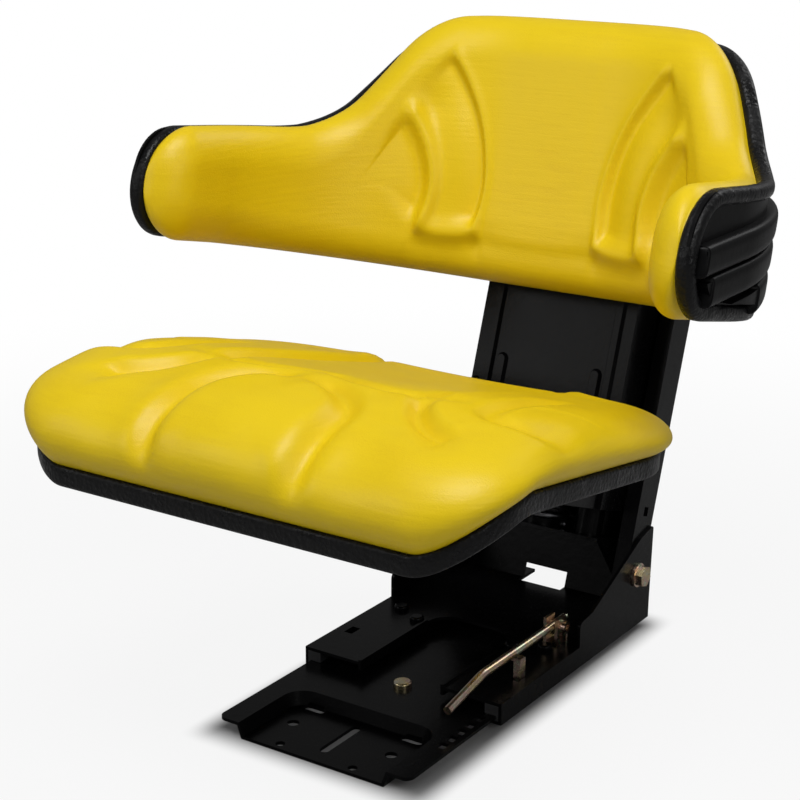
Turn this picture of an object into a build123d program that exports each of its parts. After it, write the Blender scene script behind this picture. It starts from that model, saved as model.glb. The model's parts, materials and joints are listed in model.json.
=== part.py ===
from build123d import *
from math import acos, cos, exp, hypot, pi, radians, sin, sqrt, tan
import os

# Tractor seat: a wrap-around cushioned backrest and a seat cushion, carried by an inner mast that
# rolls up and down inside a leaning outer mast. The outer mast stands on a carriage that slides
# fore and aft on a pressed base tray. Millimetres, +Z up, the sitter faces -Y and +X is their left.
# The origin is the centre of the base bolt pattern on the tray's underside.

os.makedirs("parts", exist_ok=True)

# Sheet and running clearances
steel = 3.0
run_gap = 0.4
seat_gap = 0.3

# Base tray
base_length = 424.0
base_width = 200.0
base_rise = 15.0
base_corner = 8.0
pad_width = 160.0
pad_depth = 88.0
pad_corner = 24.0
pad_draft = 20.0
bolt_spacing_x = 104.0
bolt_spacing_y = 334.0
bolt_hole_d = 11.0
small_hole_d = 8.5
small_spacing_x = 76.0
end_margin = 8.0
slot_length = 22.0
center_slot_length = 56.0
slot_width = 9.0
notch_pitch = 15.0
notch_count = 9
notch_length = 10.0
notch_width = 8.0

# Carriage
glide_wall = 2.6
deck_half = base_width / 2 + run_gap + glide_wall + steel
deck_top = 28.0
deck_front = -76.0
deck_rear = 210.0
fold_lip = 17.0
glide_length = 46.0
bay_half = 43.0
bay_end = 60.0
bay_lip = 5.0
rear_notch_half = 24.0
rear_notch_depth = 34.0
cheek_front = 66.0
cheek_step = 24.0
cheek_top = 104.0
deck_bolt_d = 14.0
deck_bolt_height = 5.0
stop_bolt_y = -72.0

# Outer mast, in its own leaning frame: x across, b back from its front lips, u up along it
lean_angle = 18.5
mast_foot_y = 140.0
mast_half = deck_half - steel
mast_depth = 37.0
mast_lip = 15.0
mast_top = 430.0
web_bottom = 56.0
mast_bolt_u = 72.0
mast_bolt_d = 12.0
washer_d = 24.0
square_hole_u = 134.0
square_hole = 9.0

# Inner mast and its rollers
inner_front = 42.0
inner_rear = 28.0
inner_bottom = 130.0
inner_top = 545.0
roller_low_u = 205.0
roller_high_u = 392.0
roller_width = 13.0
roller_side = 3.6
axle_d = 10.0
bead_height = 4.0
bead_long_x = 66.0
bead_short_x = 52.0
bead_long_width = 11.0
bead_short_width = 13.0
bead_low = 150.0
bead_short_top = 262.0
bead_margin = 24.0
bead_draft = 30.0

# Suspension inside the masts
travel = 80.0
shelf_u = 98.0
shelf_half = 76.0
shelf_depth = 62.0
cap_u = 304.0
spring_d = 56.0
spring_wire = 8.0
spring_turns = 8
spring_b = 2.0
damper_x = 53.0
damper_d = 28.0
damper_wall = 2.0
damper_rod_d = 10.0
piston_height = 12.0
bump_x = -53.0
bump_d = 30.0
bump_height = 52.0
rebound_height = 20.0
rebound_half = 22.0

# Slide lever
lever_x = 80.0
lever_rod_d = 8.0
lever_z = 46.0
lever_pivot_y = 64.0
lever_tail_y = 84.0
lever_bend_y = -65.0
lever_tip_y = -123.0
lever_tip_drop = 12.0
lever_bend_radius = 30.0
lever_pin_d = 6.0
latch_y = -20.0
latch_x = 91.0
latch_width = 7.0
latch_length = 9.0
latch_swing = 4.0

# Seat pan and cushion
pan_half = 221.5
pan_front = -320.0
pan_rear = 45.0
pan_front_corner = 58.0
pan_rear_corner = 104.0
pan_rear_z = 256.5
pan_slope = 0.145
lip_start_y = -235.0
lip_radius = 90.0
lip_turn = 60.4
pan_sheet = 2.0
pan_rim = 15.0
trim_wall = 3.5
trim_foot = 3.0
trim_tuck = 5.0
cushion_bulge = 13.5
cushion_crest_z = 336.0
cushion_crest_y = -190.0
cushion_rear_z = 276.0
cushion_front_z = 300.0
cushion_round = 46.0
front_share = 0.5
rear_share = 0.42
top_shares = (1.0, 0.8, 0.6, 0.45, 0.3, 0.15, 0.0)

# Seat arms
arm_x = 76.0
arm_flange = 26.0
arm_front_y = -215.0
arm_front_depth = 24.0
tie_y = -150.0
tie_d = 20.0
seat_bolt_d = 13.0
seat_bolt_height = 6.0
seat_bolt_ys = (-180.0, -20.0)

# Backrest
back_half = 273.0
back_rear_y = 222.0
back_ref_z = 440.0
back_lean = 15.0
back_corner = 236.0
back_sheet = 3.0
back_cushion_depth = 58.0
arm_cushion_depth = 42.0
pad_roll = 36.0
pad_start = 4.5
pad_over_top = 13.0
pad_over_arm = 1.5
pad_nose_lefts = (3.0, 9.0, 20.0, 40.0)
pad_step = 9
back_base_z = 290.0
back_height = 320.0
back_top_z = 571.0
shoulder_x = 166.0
shoulder_foot_x = 231.0
shoulder_radius = 70.0
arm_join_radius = 60.0
arm_top_z = 501.0
arm_low_z = 403.0
arm_top_slope = 0.11
arm_low_slope = 0.213
nose_y = -107.0
nose_ratio = 0.48
arm_end_y = 105.0
back_trim_band = 12.0
back_trim_out = 4.0
back_trim_in = 8.0
rib_out = 9.0
rib_height = 17.0
rib_pitch = 25.0
rib_first_z = 396.0
rib_count = 3
bracket_half = 36.0
bracket_height = 34.0
bracket_zs = (368.5, 488.0)
back_bolt_x = 25.0
back_bolt_d = 13.0
back_bolt_height = 6.0

# Moulded forms of the cushions
shoulder_ease = 0.3
leaf_s = 106.0
leaf_z = 460.0
leaf_half_width = 38.0
leaf_half_height = 78.0
leaf_depth = 5.0
dome_y = -268.0
dome_half = 62.0
dome_height = 9.0

# Values worked out from the sizes above
lean_y = sin(radians(lean_angle))
lean_z = cos(radians(lean_angle))
lean = Plane(origin=(0, mast_foot_y, 0), x_dir=(1, 0, 0), z_dir=(0, lean_y, lean_z))
deck_under = deck_top - steel
fold_bottom = base_rise - steel - run_gap - 1.0 - steel
track_mid = mast_depth / 2
roller_d = mast_depth - 2 * steel - 2 * run_gap
roller_x = mast_half - steel - run_gap - roller_width
inner_half = roller_x - roller_side
cushion_top_slope = (cushion_crest_z - cushion_rear_z) / (pan_rear - cushion_crest_y)
shelf_front = mast_depth - steel - shelf_depth
pan_line_front_z = pan_rear_z + pan_slope * (pan_rear - lip_start_y)
pan_heading = (-1.0, pan_slope)
back_flat = back_half - back_corner
back_arm_s = back_flat + back_corner * pi / 2
nose_mid_z = (arm_top_z + arm_low_z) / 2
back_end_s = back_arm_s + back_rear_y - back_corner + (nose_mid_z - back_ref_z) * tan(radians(back_lean)) - nose_y


def mast_side(x, b, u):
    """Plane square to X at a place given in the mast's own frame."""
    return Plane(origin=lean.from_local_coords((x, b, u)), x_dir=lean.y_dir, z_dir=(1, 0, 0))


def pan_z(y):
    """Height of the seat pan's straight part at y."""
    return pan_rear_z + pan_slope * (pan_rear - y)


def back_y(z):
    """Place of the back pan's rear face on the centre line at height z."""
    return back_rear_y + (z - back_ref_z) * tan(radians(back_lean))


def web_y(z):
    """Place of the inner mast's front face at height z."""
    u = (z - inner_front * lean_y) / lean_z
    return mast_foot_y + u * lean_y - inner_front * lean_z


def pan_layer(top, bottom):
    """Sheet that follows the pan's side curve, between two depths below it.

    Args:
        top: Depth of the upper face below the curve.
        bottom: Depth of the lower face below the curve.

    Returns:
        A solid wider than the pan.
    """
    reach = pan_rear + cushion_bulge + trim_wall
    with BuildPart() as layer:
        with BuildSketch(Plane.YZ):
            with BuildLine():
                upper = Line((reach, pan_z(reach) - top), (lip_start_y, pan_line_front_z - top))
                nose = JernArc(upper @ 1, pan_heading, lip_radius, lip_turn)
                tip = Line(nose @ 1, (nose @ 1) - Vector(lip_radius, 0))
                lower = Line((reach, pan_z(reach) - bottom), (lip_start_y, pan_line_front_z - bottom))
                under = JernArc(lower @ 1, pan_heading, lip_radius, lip_turn)
                foot = Line(under @ 1, (under @ 1) - Vector(lip_radius, 0))
                Line(tip @ 1, foot @ 1)
                Line(upper @ 0, lower @ 0)
            make_face()
        extrude(amount=2 * pan_half, both=True)
    return layer.part


def pan_prism(grow):
    """Upright prism on the pan's plan outline, grown outwards by an amount."""
    length = pan_rear - pan_front + 2 * grow
    with BuildPart() as prism:
        with BuildSketch(Plane.XY):
            with Locations((0, (pan_rear + pan_front) / 2)):
                Rectangle(2 * (pan_half + grow), length)
            fillet(vertices().group_by(Axis.Y)[0], pan_front_corner + grow)
            fillet(vertices().group_by(Axis.Y)[-1], pan_rear_corner + grow)
        extrude(amount=2 * cushion_crest_z)
    return prism.part


def back_plan(inset):
    """U-shaped plan area of the backrest at its foot, inset from the pan's outside."""
    half = back_half - inset
    rear = back_y(back_base_z) - inset
    with BuildSketch(Plane.XY.offset(back_base_z), mode=Mode.PRIVATE) as plan:
        with BuildLine():
            Polyline((-half, 2 * nose_y), (-half, rear), (half, rear), (half, 2 * nose_y), close=True)
        make_face()
        fillet(vertices().group_by(Axis.Y)[-1], back_corner - inset)
    return plan.sketch


def back_band(outer, inner):
    """Leaning wall that follows the backrest's plan, between two insets from the pan's outside."""
    slant = (0, sin(radians(back_lean)), cos(radians(back_lean)))
    with BuildPart() as band:
        with BuildSketch(Plane.XY.offset(back_base_z)):
            add(back_plan(outer))
            add(back_plan(inner), mode=Mode.SUBTRACT)
        extrude(amount=back_height, dir=slant)
    return band.part


def back_outline(inset):
    """Block bounded by the backrest's side and front outlines, both inset by an amount."""
    nose_radius = (arm_top_z - arm_low_z) * nose_ratio
    rear = back_y(back_top_z) + back_corner
    arm_end_z = arm_top_z - arm_top_slope * (arm_end_y - nose_y)
    with BuildPart() as block:
        with BuildSketch(Plane.YZ):
            with BuildLine():
                Polyline(
                    (nose_y, arm_low_z),
                    (nose_y, arm_top_z),
                    (arm_end_y, arm_end_z),
                    (rear, arm_end_z),
                    (rear, arm_low_z - arm_low_slope * (rear - nose_y)),
                    close=True,
                )
            make_face()
            fillet(vertices().group_by(Axis.X)[0], nose_radius)
            offset(amount=-inset)
        extrude(amount=2 * back_half, both=True)
        with BuildSketch(Plane.XZ.offset(-arm_end_y)):
            with BuildLine():
                Polyline(
                    (-shoulder_x, back_top_z),
                    (shoulder_x, back_top_z),
                    (shoulder_foot_x, arm_end_z),
                    (2 * back_half, arm_end_z),
                    (2 * back_half, arm_low_z),
                    (-2 * back_half, arm_low_z),
                    (-2 * back_half, arm_end_z),
                    (-shoulder_foot_x, arm_end_z),
                    close=True,
                )
            make_face()
            fillet(vertices().group_by(Axis.Y)[-1], shoulder_radius)
            fillet(vertices().filter_by(lambda v: abs(abs(v.X) - shoulder_foot_x) < steel), arm_join_radius)
            offset(amount=-inset)
        extrude(amount=arm_end_y - rear + inset)
    return block.part


def back_place(s, z, inset):
    """Place on or inside the back shell.

    Args:
        s: Distance round the shell's outside from its middle, towards +X.
        z: Height.
        inset: Distance inwards from the outside.

    Returns:
        The place.
    """
    turn = min(max((abs(s) - back_flat) / back_corner, 0), pi / 2)
    radius = back_corner - inset
    x = min(abs(s), back_flat) + radius * sin(turn)
    y = back_y(z) - back_corner + radius * cos(turn) - max(abs(s) - back_arm_s, 0)
    return Vector(x if s > 0 else -x, y, z)


def back_heights(s):
    """Lowest and highest point of the back shell's outline at s.

    Args:
        s: Distance round the shell.

    Returns:
        Low and high heights.
    """
    foot = back_place(s, back_ref_z, 0)
    lean_rate = tan(radians(back_lean))
    run = foot.Y - nose_y - lean_rate * back_ref_z
    low = (arm_low_z - arm_low_slope * run) / (1 + arm_low_slope * lean_rate)
    arm = (arm_top_z - arm_top_slope * run) / (1 + arm_top_slope * lean_rate)
    fall = (abs(foot.X) - shoulder_x) / (shoulder_foot_x - shoulder_x)
    slope = min(max((fall + shoulder_ease) / (1 + 2 * shoulder_ease), 0), 1)
    high = back_top_z + (arm - back_top_z) * slope * slope * (3 - 2 * slope)
    nose_radius = (arm_top_z - arm_low_z) * nose_ratio
    gone = min(max(1 - (back_end_s - abs(s)) / nose_radius, 0), 1)
    drop = nose_radius * (1 - sqrt(1 - gone * gone))
    return low + drop, high - drop


def back_relief(s, z):
    """Main moulded forms of the back cushion: two leaf-shaped hollows with raised rims and a lower roll."""
    leaf = hypot((abs(s) - leaf_s) / leaf_half_width, (z - leaf_z) / leaf_half_height)
    hollow = -leaf_depth * exp(-(leaf ** 4))
    rim = leaf_depth * exp(-(((leaf - 1.25) / 0.25) ** 2))
    roll = leaf_depth / 2 * exp(-(((z - leaf_z + 1.2 * leaf_half_height) / pad_start / 3) ** 2))
    return hollow + rim + roll


def pad_section(s):
    """Cross-section of the back cushion at s, as a closed polygon.

    Args:
        s: Distance round the shell.

    Returns:
        Its corner places.
    """
    low, high = back_heights(s)
    left = back_end_s - abs(s)
    on_arm = min(max((abs(s) - back_flat) / (back_arm_s - back_flat), 0), 1)
    depth = back_cushion_depth + (arm_cushion_depth - back_cushion_depth) * on_arm
    floor = back_sheet + back_trim_in + seat_gap
    shut = sqrt(1 - (1 - min(left / pad_roll, 1)) ** 2)
    crest = floor + (back_sheet + depth - floor) * shut
    waist = floor + 0.35 * (crest - floor)
    over_top = pad_over_top + (pad_over_arm - pad_over_top) * min(1.6 * on_arm, 1)
    rolls = []
    for over in (pad_over_arm, over_top):
        reach = min(pad_roll, (high - low) / 2 + over)
        bulge = min(over + pad_start, reach)
        start = -acos(1 - bulge / reach)
        points = []
        for angle in (start, 0, radians(30), radians(60), radians(85)):
            climb = (crest - waist) * sin(angle)
            sink = (waist - floor) * sin(angle) / sin(-start)
            points.append((pad_start - bulge + reach * (1 - cos(angle)), waist + (climb if angle > 0 else sink)))
        rolls.append(points)
    lower = [(low + run, inset) for run, inset in rolls[0]]
    upper = [(high - run, inset) for run, inset in rolls[1]]
    span = upper[-1][0] - lower[-1][0]
    face = [(lower[-1][0] + span * share, crest) for share in (0.17, 0.34, 0.5, 0.66, 0.83)]
    shown = [(z, inset + back_relief(s, z) * shut) for z, inset in face]
    band = min(3 * back_trim_band, (high - low) / 2 - pad_start / 4)
    seat = back_sheet + seat_gap if left > 3 * back_trim_band else floor + seat_gap
    hidden = [(high - band, floor), (high - band, seat), (low + band, seat), (low + band, floor)]
    return [back_place(s, z, inset) for z, inset in lower + shown + upper[::-1] + hidden]


def seat_relief(x, y):
    """Main moulded forms of the seat cushion: a front dome in a groove, thigh hollows and a middle panel."""
    ring = hypot(x / dome_half, (y - dome_y) / dome_half)
    dome = dome_height * exp(-(ring ** 2) * 2)
    groove = -0.7 * dome_height * exp(-(((ring - 1.1) / 0.28) ** 2))
    thigh = -0.4 * dome_height * exp(-(((abs(x) - 1.8 * dome_half) / dome_half) ** 2) * 3 - ((y - dome_y) / dome_half) ** 2)
    behind = min(max((y - dome_y - dome_half) / dome_half, 0), 1)
    panel = -0.5 * dome_height * behind * exp(-((x / (1.6 * dome_half)) ** 6))
    return dome + groove + thigh + panel


def pad_loft(sections):
    """Pad through a row of closed polygons, straight from each to the next."""
    return loft([Face(Wire.make_polygon(points, close=True)) for points in sections], ruled=True)


def finish(piece, name):
    """Label a finished piece and write it."""
    piece.part.label = name
    export_step(piece.part, f"parts/{name}.step")


# Base tray: a plate with its two mounting pads pressed down and open at the tray's ends
pad_reach = 2 * pad_depth
with BuildPart() as base_tray:
    with BuildSketch(Plane.XY.offset(base_rise - steel)):
        RectangleRounded(base_width, base_length, base_corner)
    extrude(amount=steel)
    with BuildSketch(Plane.XY.offset(base_rise)):
        with GridLocations(0, base_length, 1, 2):
            RectangleRounded(pad_width, pad_reach, pad_corner)
    extrude(amount=-base_rise, taper=pad_draft)
    with BuildSketch(Plane.XY.offset(base_rise)):
        with GridLocations(0, base_length, 1, 2):
            RectangleRounded(pad_width - 2 * steel, pad_reach - 2 * steel, pad_corner - steel)
    extrude(amount=steel - base_rise, taper=pad_draft, mode=Mode.SUBTRACT)
    with BuildSketch(Plane.XY):
        RectangleRounded(base_width, base_length, base_corner)
    extrude(amount=base_rise, mode=Mode.INTERSECT)
    with GridLocations(bolt_spacing_x, bolt_spacing_y, 2, 2):
        Hole(bolt_hole_d / 2)
    with GridLocations(small_spacing_x, base_length - 2 * end_margin, 2, 2):
        Hole(small_hole_d / 2)
    with BuildSketch(Plane.XY):
        with GridLocations(bolt_spacing_x, base_length - 2 * pad_depth + slot_length, 2, 2):
            SlotOverall(slot_length, slot_width)
        with GridLocations(0, base_length - pad_depth, 1, 2):
            SlotOverall(center_slot_length, slot_width, rotation=90)
    extrude(amount=base_rise, mode=Mode.SUBTRACT)
    with BuildSketch(Plane.XY):
        with Locations((latch_x, latch_y - notch_pitch * notch_count / 2)):
            with GridLocations(0, notch_pitch, 1, notch_count):
                Rectangle(notch_width, notch_length)
    extrude(amount=base_rise, mode=Mode.SUBTRACT)
    with Locations((0, stop_bolt_y)):
        Hole(small_hole_d / 2)
finish(base_tray, "base_tray")

# Stop bolt that ends the carriage's forward travel
with BuildPart() as stop_bolt:
    with BuildSketch(Plane.XY.offset(base_rise)):
        with Locations((0, stop_bolt_y)):
            Circle(small_hole_d)
    extrude(amount=deck_bolt_height)
    fillet(edges().group_by(Axis.Z)[-1], deck_bolt_height / 3)
    with BuildSketch(Plane.XY.offset(base_rise)):
        with Locations((0, stop_bolt_y)):
            Circle(small_hole_d / 2 - seat_gap)
    extrude(amount=-steel)
    with BuildSketch(Plane.XY.offset(base_rise - steel)):
        with Locations((0, stop_bolt_y)):
            RegularPolygon(small_hole_d * 0.75, 6)
    extrude(amount=-2 * steel)
finish(stop_bolt, "travel_stop_bolt")

# Carriage: a deck folded round the tray's flanges, with a bay at its front and cheeks at its rear
deck_length = deck_rear - deck_front
deck_mid = (deck_rear + deck_front) / 2
with BuildPart() as carriage:
    with BuildSketch(Plane.XY.offset(deck_under)):
        with Locations((0, deck_mid)):
            Rectangle(2 * deck_half, deck_length)
        with Locations((0, deck_front)):
            RectangleRounded(2 * bay_half, 2 * (bay_end - deck_front), pad_corner, mode=Mode.SUBTRACT)
        with Locations((0, deck_rear)):
            Rectangle(2 * rear_notch_half, 2 * rear_notch_depth, mode=Mode.SUBTRACT)
        with Locations((-latch_x, latch_y - latch_swing / 2), (latch_x, latch_y - latch_swing / 2)):
            Rectangle(notch_width + 2 * run_gap, latch_length + latch_swing + 4 * run_gap, mode=Mode.SUBTRACT)
    extrude(amount=steel)
    with BuildSketch(Plane.XZ.offset(-deck_rear)):
        with BuildLine():
            Polyline(
                (deck_half, deck_top),
                (deck_half, fold_bottom),
                (deck_half - fold_lip, fold_bottom),
                (deck_half - fold_lip, fold_bottom + steel),
                (deck_half - steel, fold_bottom + steel),
                (deck_half - steel, deck_top),
                close=True,
            )
        make_face()
        mirror(about=Plane.YZ)
    extrude(amount=deck_length)
    with BuildSketch(Plane.XZ.offset(pad_corner - bay_end)):
        with Locations((bay_half + steel / 2, deck_under), (-bay_half - steel / 2, deck_under)):
            Rectangle(steel, 2 * bay_lip)
    extrude(amount=bay_end - pad_corner - deck_front)
    with BuildSketch(Plane.YZ.offset(mast_half)):
        with BuildLine():
            Polyline(
                (cheek_front, deck_under),
                (cheek_front, deck_top + cheek_step),
                (cheek_front + cheek_step, deck_top + cheek_step + steel),
                (deck_rear - cheek_step, cheek_top - 2 * steel),
                (deck_rear + steel, cheek_top),
                (deck_rear, deck_under),
                close=True,
            )
        make_face()
        fillet(vertices().group_by(Axis.Y)[-1], steel)
        fillet(vertices().group_by(Axis.X)[0].sort_by(Axis.Y)[-1], 2 * steel)
    extrude(amount=steel)
    mirror(about=Plane.YZ)
    with BuildSketch(mast_side(0, track_mid, mast_bolt_u)):
        Circle(mast_bolt_d / 2 + seat_gap)
    extrude(amount=2 * deck_half, both=True, mode=Mode.SUBTRACT)
finish(carriage, "carriage")

# Nylon glides in the folds, one at each corner, round the tray's flange
glide_inner = deck_half - fold_lip
for side, side_name in ((1, "left"), (-1, "right")):
    for end, end_name in ((-1, "front"), (1, "rear")):
        glide_y = deck_mid + end * (deck_length - glide_length) / 2
        with BuildPart() as glide:
            with BuildSketch(Plane.XZ.offset(-glide_y)):
                with BuildLine():
                    Polyline(
                        (side * glide_inner, deck_under),
                        (side * mast_half, deck_under),
                        (side * mast_half, fold_bottom + steel),
                        (side * glide_inner, fold_bottom + steel),
                        (side * glide_inner, base_rise - steel - run_gap),
                        (side * (base_width / 2 + run_gap), base_rise - steel - run_gap),
                        (side * (base_width / 2 + run_gap), base_rise + run_gap),
                        (side * glide_inner, base_rise + run_gap),
                        close=True,
                    )
                make_face()
            extrude(amount=glide_length / 2, both=True)
        finish(glide, f"glide_{end_name}_{side_name}")

# Round-headed bolts on the deck
deck_bolt_places = {
    "outer_left": (lever_x, bay_end - deck_bolt_d),
    "outer_right": (-lever_x, bay_end - deck_bolt_d),
    "inner_left": (bay_half + steel + deck_bolt_d / 2, bay_end - 2 * deck_bolt_d),
    "inner_right": (-bay_half - steel - deck_bolt_d / 2, bay_end - 2 * deck_bolt_d),
}
for bolt_name, (bolt_x, bolt_y) in deck_bolt_places.items():
    with BuildPart() as deck_bolt:
        with BuildSketch(Plane.XY.offset(deck_top)):
            with Locations((bolt_x, bolt_y)):
                Circle(deck_bolt_d / 2)
        extrude(amount=deck_bolt_height)
        fillet(edges().group_by(Axis.Z)[-1], deck_bolt_height / 2)
    finish(deck_bolt, f"deck_bolt_{bolt_name}")

# Outer mast: a lipped channel whose sides are the roller tracks
with BuildPart() as mast:
    with BuildSketch(lean):
        with Locations((0, mast_depth / 2)):
            Rectangle(2 * mast_half, mast_depth)
            Rectangle(2 * (mast_half - steel), mast_depth - 2 * steel, mode=Mode.SUBTRACT)
        Rectangle(2 * (mast_half - mast_lip), 3 * steel, mode=Mode.SUBTRACT)
    extrude(amount=mast_top)
    with BuildSketch(Plane.XY.offset(deck_top)):
        Rectangle(4 * mast_half, 4 * base_length)
    extrude(amount=-deck_top - mast_depth, mode=Mode.SUBTRACT)
    with BuildSketch(lean):
        with Locations((0, mast_depth)):
            Rectangle(2 * rear_notch_half, 4 * steel)
    extrude(amount=web_bottom, mode=Mode.SUBTRACT)
    with BuildSketch(mast_side(0, track_mid, mast_bolt_u)):
        Circle(mast_bolt_d / 2 + seat_gap)
    extrude(amount=2 * mast_half, both=True, mode=Mode.SUBTRACT)
    with BuildSketch(mast_side(0, track_mid, square_hole_u)):
        Rectangle(square_hole, square_hole)
    extrude(amount=2 * mast_half, both=True, mode=Mode.SUBTRACT)
finish(mast, "outer_mast")

# Bolts with washers that hold the outer mast between the cheeks
for side, side_name in ((1, "left"), (-1, "right")):
    with BuildPart() as mast_washer:
        with BuildSketch(mast_side(side * deck_half, track_mid, mast_bolt_u)):
            Circle(washer_d / 2)
            Circle(mast_bolt_d / 2 + seat_gap, mode=Mode.SUBTRACT)
        extrude(amount=side * steel * 0.8)
    finish(mast_washer, f"mast_washer_{side_name}")
    with BuildPart() as mast_bolt:
        with BuildSketch(mast_side(side * (deck_half + steel * 0.8), track_mid, mast_bolt_u)):
            RegularPolygon(mast_bolt_d * 0.9, 6)
        extrude(amount=side * mast_bolt_d * 0.62)
        with BuildSketch(mast_side(side * (deck_half + steel * 0.8), track_mid, mast_bolt_u)):
            Circle(mast_bolt_d / 2)
        extrude(amount=-side * (steel * 2.8 + mast_bolt_d * 0.8))
        with BuildSketch(mast_side(side * (mast_half - steel), track_mid, mast_bolt_u)):
            RegularPolygon(mast_bolt_d * 0.9, 6)
        extrude(amount=-side * mast_bolt_d * 0.8)
    finish(mast_bolt, f"mast_bolt_{side_name}")

# Shelf across the foot of the outer mast that carries the spring, the damper and the bump post
bump_post_top = cap_u - bump_height - travel - run_gap
with BuildPart() as shelf:
    with BuildSketch(lean.offset(shelf_u)):
        with Locations((0, shelf_front + shelf_depth / 2)):
            Rectangle(2 * shelf_half, shelf_depth)
        fillet(vertices().group_by(Axis.Y)[0], steel * 3)
    extrude(amount=steel)
    with BuildSketch(mast_side(-shelf_half, 0, shelf_u)):
        with BuildLine():
            Polyline(
                (mast_depth - steel, 0),
                (shelf_front + steel * 4, 0),
                (mast_depth - steel, steel - shelf_depth * 0.6),
                close=True,
            )
        make_face()
    extrude(amount=steel)
    mirror(about=Plane.YZ)
    with BuildSketch(lean.offset(shelf_u + steel)):
        with Locations((bump_x, spring_b)):
            Circle(bump_d / 3)
    extrude(amount=bump_post_top - shelf_u - steel)
    with BuildSketch(lean.offset(shelf_u + steel)):
        with Locations((0, spring_b)):
            Circle(spring_d / 2 - spring_wire - run_gap)
    extrude(amount=spring_wire)
finish(shelf, "spring_shelf")

# Coil spring between the shelf and the inner mast's cap, ground flat at both ends
spring_low = shelf_u + steel
spring_high = cap_u - steel
spring_pitch = (spring_high - spring_low) / spring_turns
spring_foot = lean.from_local_coords((0, spring_b, spring_low))
with BuildPart() as spring:
    with BuildLine():
        coil = Helix(
            spring_pitch,
            spring_high - spring_low,
            (spring_d - spring_wire) / 2,
            center=spring_foot,
            direction=lean.z_dir,
        )
    with BuildSketch(Plane(origin=coil @ 0, z_dir=coil % 0)):
        Circle(spring_wire / 2)
    sweep(path=coil, is_frenet=True)
    with BuildSketch(lean.offset(spring_low)):
        Rectangle(4 * spring_d, 4 * spring_d)
    extrude(amount=spring_high - spring_low, mode=Mode.INTERSECT)
finish(spring, "coil_spring")

# Damper: a tube on the shelf and a rod with its piston under the cap
damper_low = shelf_u + steel
damper_high = cap_u - steel - travel - 2 * run_gap
rod_low = damper_low + damper_wall + travel + 2 * run_gap
damper_bore = damper_d / 2 - damper_wall
with BuildPart() as damper_tube:
    with BuildSketch(lean.offset(damper_low)):
        with Locations((damper_x, spring_b)):
            Circle(damper_d / 2)
    extrude(amount=damper_high - damper_low)
    with BuildSketch(lean.offset(damper_low + damper_wall)):
        with Locations((damper_x, spring_b)):
            Circle(damper_bore)
    extrude(amount=damper_high - damper_low - 2 * damper_wall, mode=Mode.SUBTRACT)
    with BuildSketch(lean.offset(damper_high)):
        with Locations((damper_x, spring_b)):
            Circle(damper_rod_d / 2 + run_gap)
    extrude(amount=-2 * damper_wall, mode=Mode.SUBTRACT)
finish(damper_tube, "damper_tube")

with BuildPart() as damper_rod:
    with BuildSketch(lean.offset(rod_low)):
        with Locations((damper_x, spring_b)):
            Circle(damper_bore - run_gap)
    extrude(amount=piston_height)
    with BuildSketch(lean.offset(rod_low)):
        with Locations((damper_x, spring_b)):
            Circle(damper_rod_d / 2)
    extrude(amount=cap_u - steel - rod_low)
finish(damper_rod, "damper_rod")

# Rubber block on the outer mast above the spring cap, which ends the upward travel
with BuildPart() as rebound:
    with BuildSketch(lean.offset(cap_u + run_gap)):
        with Locations((0, (track_mid + mast_depth - steel) / 2)):
            RectangleRounded(2 * rebound_half, mast_depth - steel - track_mid, steel)
    extrude(amount=rebound_height)
finish(rebound, "rebound_buffer")

# Inner mast: a channel with pressed beads that nests inside the outer mast
with BuildPart() as inner_mast:
    with BuildSketch(lean.offset(inner_bottom)):
        with Locations((0, (inner_rear - inner_front) / 2)):
            Rectangle(2 * inner_half, inner_rear + inner_front)
        with Locations((0, (inner_rear - inner_front) / 2 + steel)):
            Rectangle(2 * (inner_half - steel), inner_rear + inner_front, mode=Mode.SUBTRACT)
    extrude(amount=inner_top - inner_bottom)
    bead_plane = Plane(origin=lean.from_local_coords((0, -inner_front, 0)), x_dir=(1, 0, 0), z_dir=-lean.y_dir)
    bead_long_top = inner_top - bead_margin
    with BuildSketch(bead_plane):
        for bead_x in (-bead_long_x, bead_long_x):
            with Locations((bead_x, (bead_low + bead_long_top) / 2)):
                SlotOverall(bead_long_top - bead_low, bead_long_width, rotation=90)
        for bead_x in (-bead_short_x, bead_short_x):
            with Locations((bead_x, (bead_low + bead_short_top) / 2)):
                SlotOverall(bead_short_top - bead_low, bead_short_width, rotation=90)
    extrude(amount=bead_height, taper=bead_draft)
    for axle_u in (roller_low_u, roller_high_u):
        with BuildSketch(mast_side(0, track_mid, axle_u)):
            Circle(axle_d / 2)
        extrude(amount=2 * inner_half, both=True, mode=Mode.SUBTRACT)
finish(inner_mast, "inner_mast")

# Headed stub axles in the inner mast's sides and the rollers that run in the outer mast's tracks
axle_end = roller_x + roller_width - run_gap
axle_root = inner_half - steel
for axle_u, axle_name in ((roller_low_u, "lower"), (roller_high_u, "upper")):
    for side, side_name in ((1, "left"), (-1, "right")):
        with BuildPart() as axle:
            with BuildSketch(mast_side(side * axle_root, track_mid, axle_u)):
                Circle(axle_d / 2)
            extrude(amount=side * (axle_end - axle_root))
            with BuildSketch(mast_side(side * axle_root, track_mid, axle_u)):
                Circle(axle_d * 0.8)
            extrude(amount=-side * steel)
        finish(axle, f"{axle_name}_axle_{side_name}")
        with BuildPart() as roller:
            with BuildSketch(mast_side(side * roller_x, track_mid, axle_u)):
                Circle(roller_d / 2)
                Circle(axle_d / 2 + run_gap, mode=Mode.SUBTRACT)
            extrude(amount=side * roller_width)
            chamfer(edges().filter_by(GeomType.CIRCLE).sort_by(SortBy.RADIUS)[-2:], steel / 3)
        finish(roller, f"{axle_name}_roller_{side_name}")

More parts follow.
